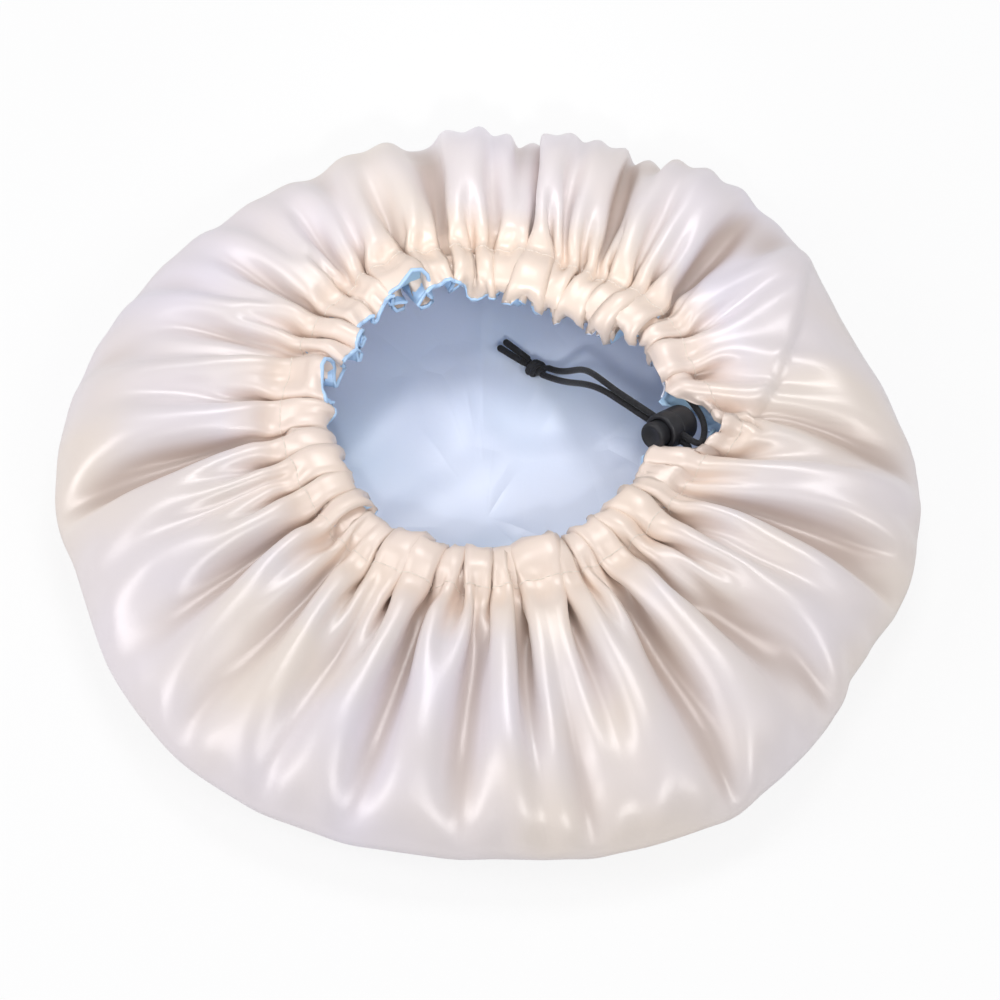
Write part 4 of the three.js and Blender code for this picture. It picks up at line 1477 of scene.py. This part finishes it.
class BONNET_OT_stage(Operator):
    """Make the floor, the soft lights and the camera"""

    bl_idname = "bonnet.stage"
    bl_label = "Stage"

    def execute(self, context):
        stage = context.scene.bonnet_stage
        scene = context.scene
        scene.view_settings.view_transform = "Standard"

        elevation = math.radians(stage.elevation)
        back = Vector((0, -math.cos(elevation), math.sin(elevation)))
        camera_up = Vector((0, math.sin(elevation), math.cos(elevation)))
        height = 0.025
        target = Vector((stage.frame_side, 0, height))
        target.y = (stage.frame_up - camera_up.z * height) / camera_up.y
        camera = linked("camera", bpy.data.cameras.new("camera"))
        camera.location = target + back * stage.distance
        camera.rotation_euler = (-back).to_track_quat("-Z", "Y").to_euler()
        camera.data.sensor_width = 36
        camera.data.lens = 36 * stage.distance / stage.frame_width
        camera.data.clip_start = 0.05
        scene.camera = camera

        white_floor()
        white_room(scene)
        # A softbox high at the front right, a long low one to the left and one behind.
        for name, place, size, power, tint in [
            ("key_softbox", (0.65, -1.0, 1.2), (0.6, 0.5), 5.2, (1.0, 0.99, 0.99)),
            ("left_softbox", (-1.2, -0.25, 0.8), (0.4, 1.0), 6.0, (1.0, 0.98, 0.99)),
            ("top_softbox", (0.1, 0.6, 1.5), (0.7, 0.5), 7.0, (0.98, 0.98, 1.0)),
        ]:
            lamp = hung_lamp(name, "AREA", place, target, power)
            lamp.shape = "RECTANGLE"
            lamp.size, lamp.size_y = size
            lamp.color = tint
        # A narrow beam over the front of the frill reaches the lining under its back.
        under_back = Vector((0.0, 0.13, 0.01))
        beam = hung_lamp("mouth_beam", "SPOT", (0.05, -1.0, 1.05), under_back, 34.0)
        beam.spot_size = math.radians(9.0)
        beam.spot_blend = 1.0
        beam.shadow_soft_size = 0.06
        return {"FINISHED"}


class BONNET_OT_cloth(Operator):
    """Make the outer satin and the lining, gathered together at the opening"""

    bl_idname = "bonnet.cloth"
    bl_label = "Outer satin and lining"

    def execute(self, context):
        shape = context.scene.bonnet_shape
        colours = context.scene.bonnet_colours
        outer, lining, flat, depth = cloth_layers(shape)
        half = shape.cloth / MM / 2
        pattern = np.concatenate([flat.reshape(-1, 2), flat.reshape(-1, 2), np.zeros((2, 2))])
        depth = np.concatenate([depth.ravel(), depth.ravel(), np.zeros(2)])
        for name, kind, rows, sunk, cloth, gloss in [
            ("outer_satin", "outer", outer, depth, "cream_polyester_satin", OUTER_GLOSS),
            ("satin_lining_cloth", "lining", lining, -depth, LINING_CLOTH, LINING_GLOSS),
        ]:
            normal = row_normals(rows)
            points, faces = closed_shell(rows + normal * half, rows - normal * half)
            # The gathers' and the valleys' colours are painted bounce light and painted shade.
            names = [kind] + [f"{kind}_{place}" for place in ("cool", "warm", "gathers", "valleys")]
            tints = [tuple(getattr(colours, tint)) for tint in names]
            look = satin_material(cloth, tints, shape.cut_radius, *gloss)
            new_piece(name, points, faces, pattern, "bonnet", look, sunk)
        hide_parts("outer_satin_shell")
        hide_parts("satin_lining")
        return {"FINISHED"}


class BONNET_OT_cords(Operator):
    """Make the drawcord, its two tails, the knot and the cut ends"""

    bl_idname = "bonnet.cords"
    bl_label = "Cords and knot"

    def execute(self, context):
        shape = context.scene.bonnet_shape
        lock = context.scene.bonnet_lock
        radius = shape.cord_diameter / MM / 2
        drawcord, tails, ends, knot_centre = strand_paths(shape, lock)
        braid = braid_material("black_braided_elastic", to_linear("141417"), to_linear("29292d"))

        even, _ = spaced(drawcord, RING_STEPS)
        tube = swept(even, radius, CORD_SIDES)
        ring = new_piece("drawcord_in_casing", *tube, "bonnet", braid)
        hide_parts("drawcord")

        # The knot: both strands tied together in one overhand knot, drawn up tight.
        points, faces, places = joined(knot_strands(tails, ends, knot_centre, radius))
        points[:, 2] = np.maximum(points[:, 2], knot_centre[2] - KNOT_UNDERSIDE)
        knot = new_piece("overhand_knot", points, faces, places, "bonnet", braid)
        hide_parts("knot")

        for name, tail, end in zip(("back", "front"), tails, ends):
            tip, _ = spaced(end, END_STEPS)
            tube = swept(tip, radius * np.linspace(1, END_FLARE, END_STEPS), CORD_SIDES)
            cut = new_piece(f"{name}_cut_end", *tube, "bonnet", braid)
            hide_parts(f"{name}_cord_end")
            even, run = spaced(tail, TAIL_STEPS)
            tube = swept(even, radius, CORD_SIDES)
            cord = new_piece(f"{name}_tail", *tube, "bonnet", braid)
            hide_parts(f"{name}_cord_tail")
        return {"FINISHED"}


class BONNET_OT_lock(Operator):
    """Make the cord lock: its barrel, its plunger and the spring between them"""

    bl_idname = "bonnet.lock"
    bl_label = "Cord lock"

    def execute(self, context):
        lock = context.scene.bonnet_lock
        place = lock_frame(lock)
        cords, press, stack, crossing = place
        radius = lock.barrel_diameter / MM / 2
        bore = radius - lock.barrel_wall / MM
        travel = lock.plunger_travel / MM
        closed_end = MOUTH_REACH - lock.barrel_length / MM
        bore_floor = closed_end + BARREL_FLOOR
        slot_height = CORD_PITCH + 2 * CORD_ROOM
        slot_length = 2 * radius + 1
        plastic = moulded_material(
            "black_moulded_acetal", to_linear("1c1c20"), to_linear("2b2b30")
        )

        # The barrel: a rounded closed end, a shallow parting line and a rounded mouth.
        shoulder = closed_end + BARREL_ROUND
        profile = [[AXIS, closed_end]]
        profile += quarter(radius - BARREL_ROUND, shoulder, BARREL_ROUND, -90, 14)
        profile += [[radius - depth, height] for depth, height in PARTING_LINE]
        profile += quarter(radius - MOUTH_ROUND, MOUTH_REACH - MOUTH_ROUND, MOUTH_ROUND, 0, 6)
        profile += [[bore + MOUTH_BEVEL, MOUTH_REACH], [bore, MOUTH_REACH - MOUTH_BEVEL]]
        profile += [[bore, bore_floor], [AXIS, bore_floor]]
        tool = slot_block(-CORD_ROOM, CORD_ROOM, slot_height, slot_length)
        barrel = cut_piece("lock_barrel", profile, *tool, place, "cord_lock", BARREL_EDGE, plastic)
        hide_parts("cord_lock_barrel")

        # The plunger: a stem with a slot longer by its travel, and a button with a dished top.
        stem = bore - FIT
        low = -CORD_ROOM - PLUNGER_WEB
        seat = MOUTH_REACH + travel + FIT
        cap = radius - CAP_INSET
        top = seat + CAP_HEIGHT
        profile = [[AXIS, low], [stem - STEM_BEVEL, low], [stem, low + STEM_BEVEL]]
        profile += [[stem, seat - 0.02], [cap - CAP_BEVEL, seat], [cap, seat + CAP_BEVEL]]
        profile += quarter(cap - CAP_ROUND, top - CAP_ROUND, CAP_ROUND, 0, 8)
        profile += [[cap * share, top - depth] for share, depth in CAP_DISH]
        profile += [[AXIS, top - CAP_MIDDLE]]
        tool = slot_block(-CORD_ROOM, CORD_ROOM + travel, slot_height, slot_length)
        plunger = cut_piece("lock_plunger", profile, *tool, place, "plunger", PLUNGER_EDGE, plastic)
        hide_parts("plunger")

        # The spring, a helix whose ends lie flat.
        coil = bore - SPRING_PLAY - SPRING_WIRE
        share = np.linspace(0, 1, 190)
        rise = share - 0.06 * np.sin(share * 2 * math.pi)
        angle = share * SPRING_TURNS * 2 * math.pi
        start, stop = bore_floor + FIT + SPRING_WIRE, low - FIT - SPRING_WIRE
        along = start + (stop - start) * rise
        helix = np.stack([np.cos(angle) * coil, along, np.sin(angle) * coil], axis=-1)
        axes = np.stack([cords, press, stack])
        path = crossing + helix @ axes
        hint = (helix * np.array([1, 0, 1])) @ axes
        wire = wire_material("bright_music_wire", to_linear("b9bcc0"))
        tube = swept(path, SPRING_WIRE, 10, across=hint)
        spring = new_piece("lock_spring", *tube, "cord_lock", wire)
        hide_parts("spring")
        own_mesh(spring)
        return {"FINISHED"}


class BONNET_OT_stitches(Operator):
    """Make the stitches behind the casing, on both faces, and the seam rolled round the frill"""

    bl_idname = "bonnet.stitches"
    bl_label = "Stitches and edge seam"

    def execute(self, context):
        shape = context.scene.bonnet_shape
        outer, lining, _, _ = cloth_layers(shape)
        cloth = shape.cloth / MM
        thread = thread_material("cream_polyester_thread", to_linear("e9ded3"))
        rows = joined(stitch_tubes(outer, 1, cloth) + stitch_tubes(lining, -1, cloth))
        stitches = new_piece("casing_stitches", *rows, "bonnet", thread)
        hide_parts("casing_stitching")

        # The lining's folded edge rolls round the outer's, from one side of the notch to the other.
        degrees = ridge_angle(np.arange(shape.columns) * GATHERS / shape.columns)
        edge = (outer[EDGE_ROW] + lining[EDGE_ROW]) / 2
        shown = smooth_step(70, 100, degrees) * smooth_step(200, 170, degrees)
        keep = mouth_open(degrees) < 1
        order = np.roll(np.arange(shape.columns), -np.argmin(keep))
        order = order[keep[order]]
        tube = swept(edge[order], (0.42 + 0.4 * shown)[order], 10)
        seam = new_piece("edge_seam_roll", *tube, "bonnet", bpy.data.materials[LINING_CLOTH])
        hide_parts("edge_seam_stitching")
        return {"FINISHED"}


class BONNET_PT_panel(Panel):
    """The bonnet's pieces and their settings"""

    bl_idname = "BONNET_PT_panel"
    bl_label = "Satin hair bonnet"
    bl_space_type = "VIEW_3D"
    bl_region_type = "UI"
    bl_category = "Bonnet"

    def draw(self, context):
        layout = self.layout
        scene = context.scene
        for operator in OPERATORS:
            layout.operator(operator.bl_idname)
        for group in (scene.bonnet_shape, scene.bonnet_lock, scene.bonnet_colours):
            box = layout.box()
            for name in group.__annotations__:
                box.prop(group, name)


OPERATORS = [BONNET_OT_stage, BONNET_OT_cords, BONNET_OT_lock, BONNET_OT_cloth, BONNET_OT_stitches]
CLASSES = [BonnetShape, BonnetColours, BonnetLock, BonnetStage, *OPERATORS, BONNET_PT_panel]


def register():
    """Registers the classes and the scene's settings."""
    for item in CLASSES:
        bpy.utils.register_class(item)
    bpy.types.Scene.bonnet_shape = PointerProperty(type=BonnetShape)
    bpy.types.Scene.bonnet_colours = PointerProperty(type=BonnetColours)
    bpy.types.Scene.bonnet_lock = PointerProperty(type=BonnetLock)
    bpy.types.Scene.bonnet_stage = PointerProperty(type=BonnetStage)


def unregister():
    """Removes them again."""
    del bpy.types.Scene.bonnet_stage
    del bpy.types.Scene.bonnet_lock
    del bpy.types.Scene.bonnet_colours
    del bpy.types.Scene.bonnet_shape
    for item in reversed(CLASSES):
        bpy.utils.unregister_class(item)


def main():
    """Makes everything in order."""
    register()
    bpy.ops.bonnet.stage()
    bpy.ops.bonnet.cords()
    bpy.ops.bonnet.lock()
    bpy.ops.bonnet.cloth()
    bpy.ops.bonnet.stitches()


if __name__ == "__main__":
    main()
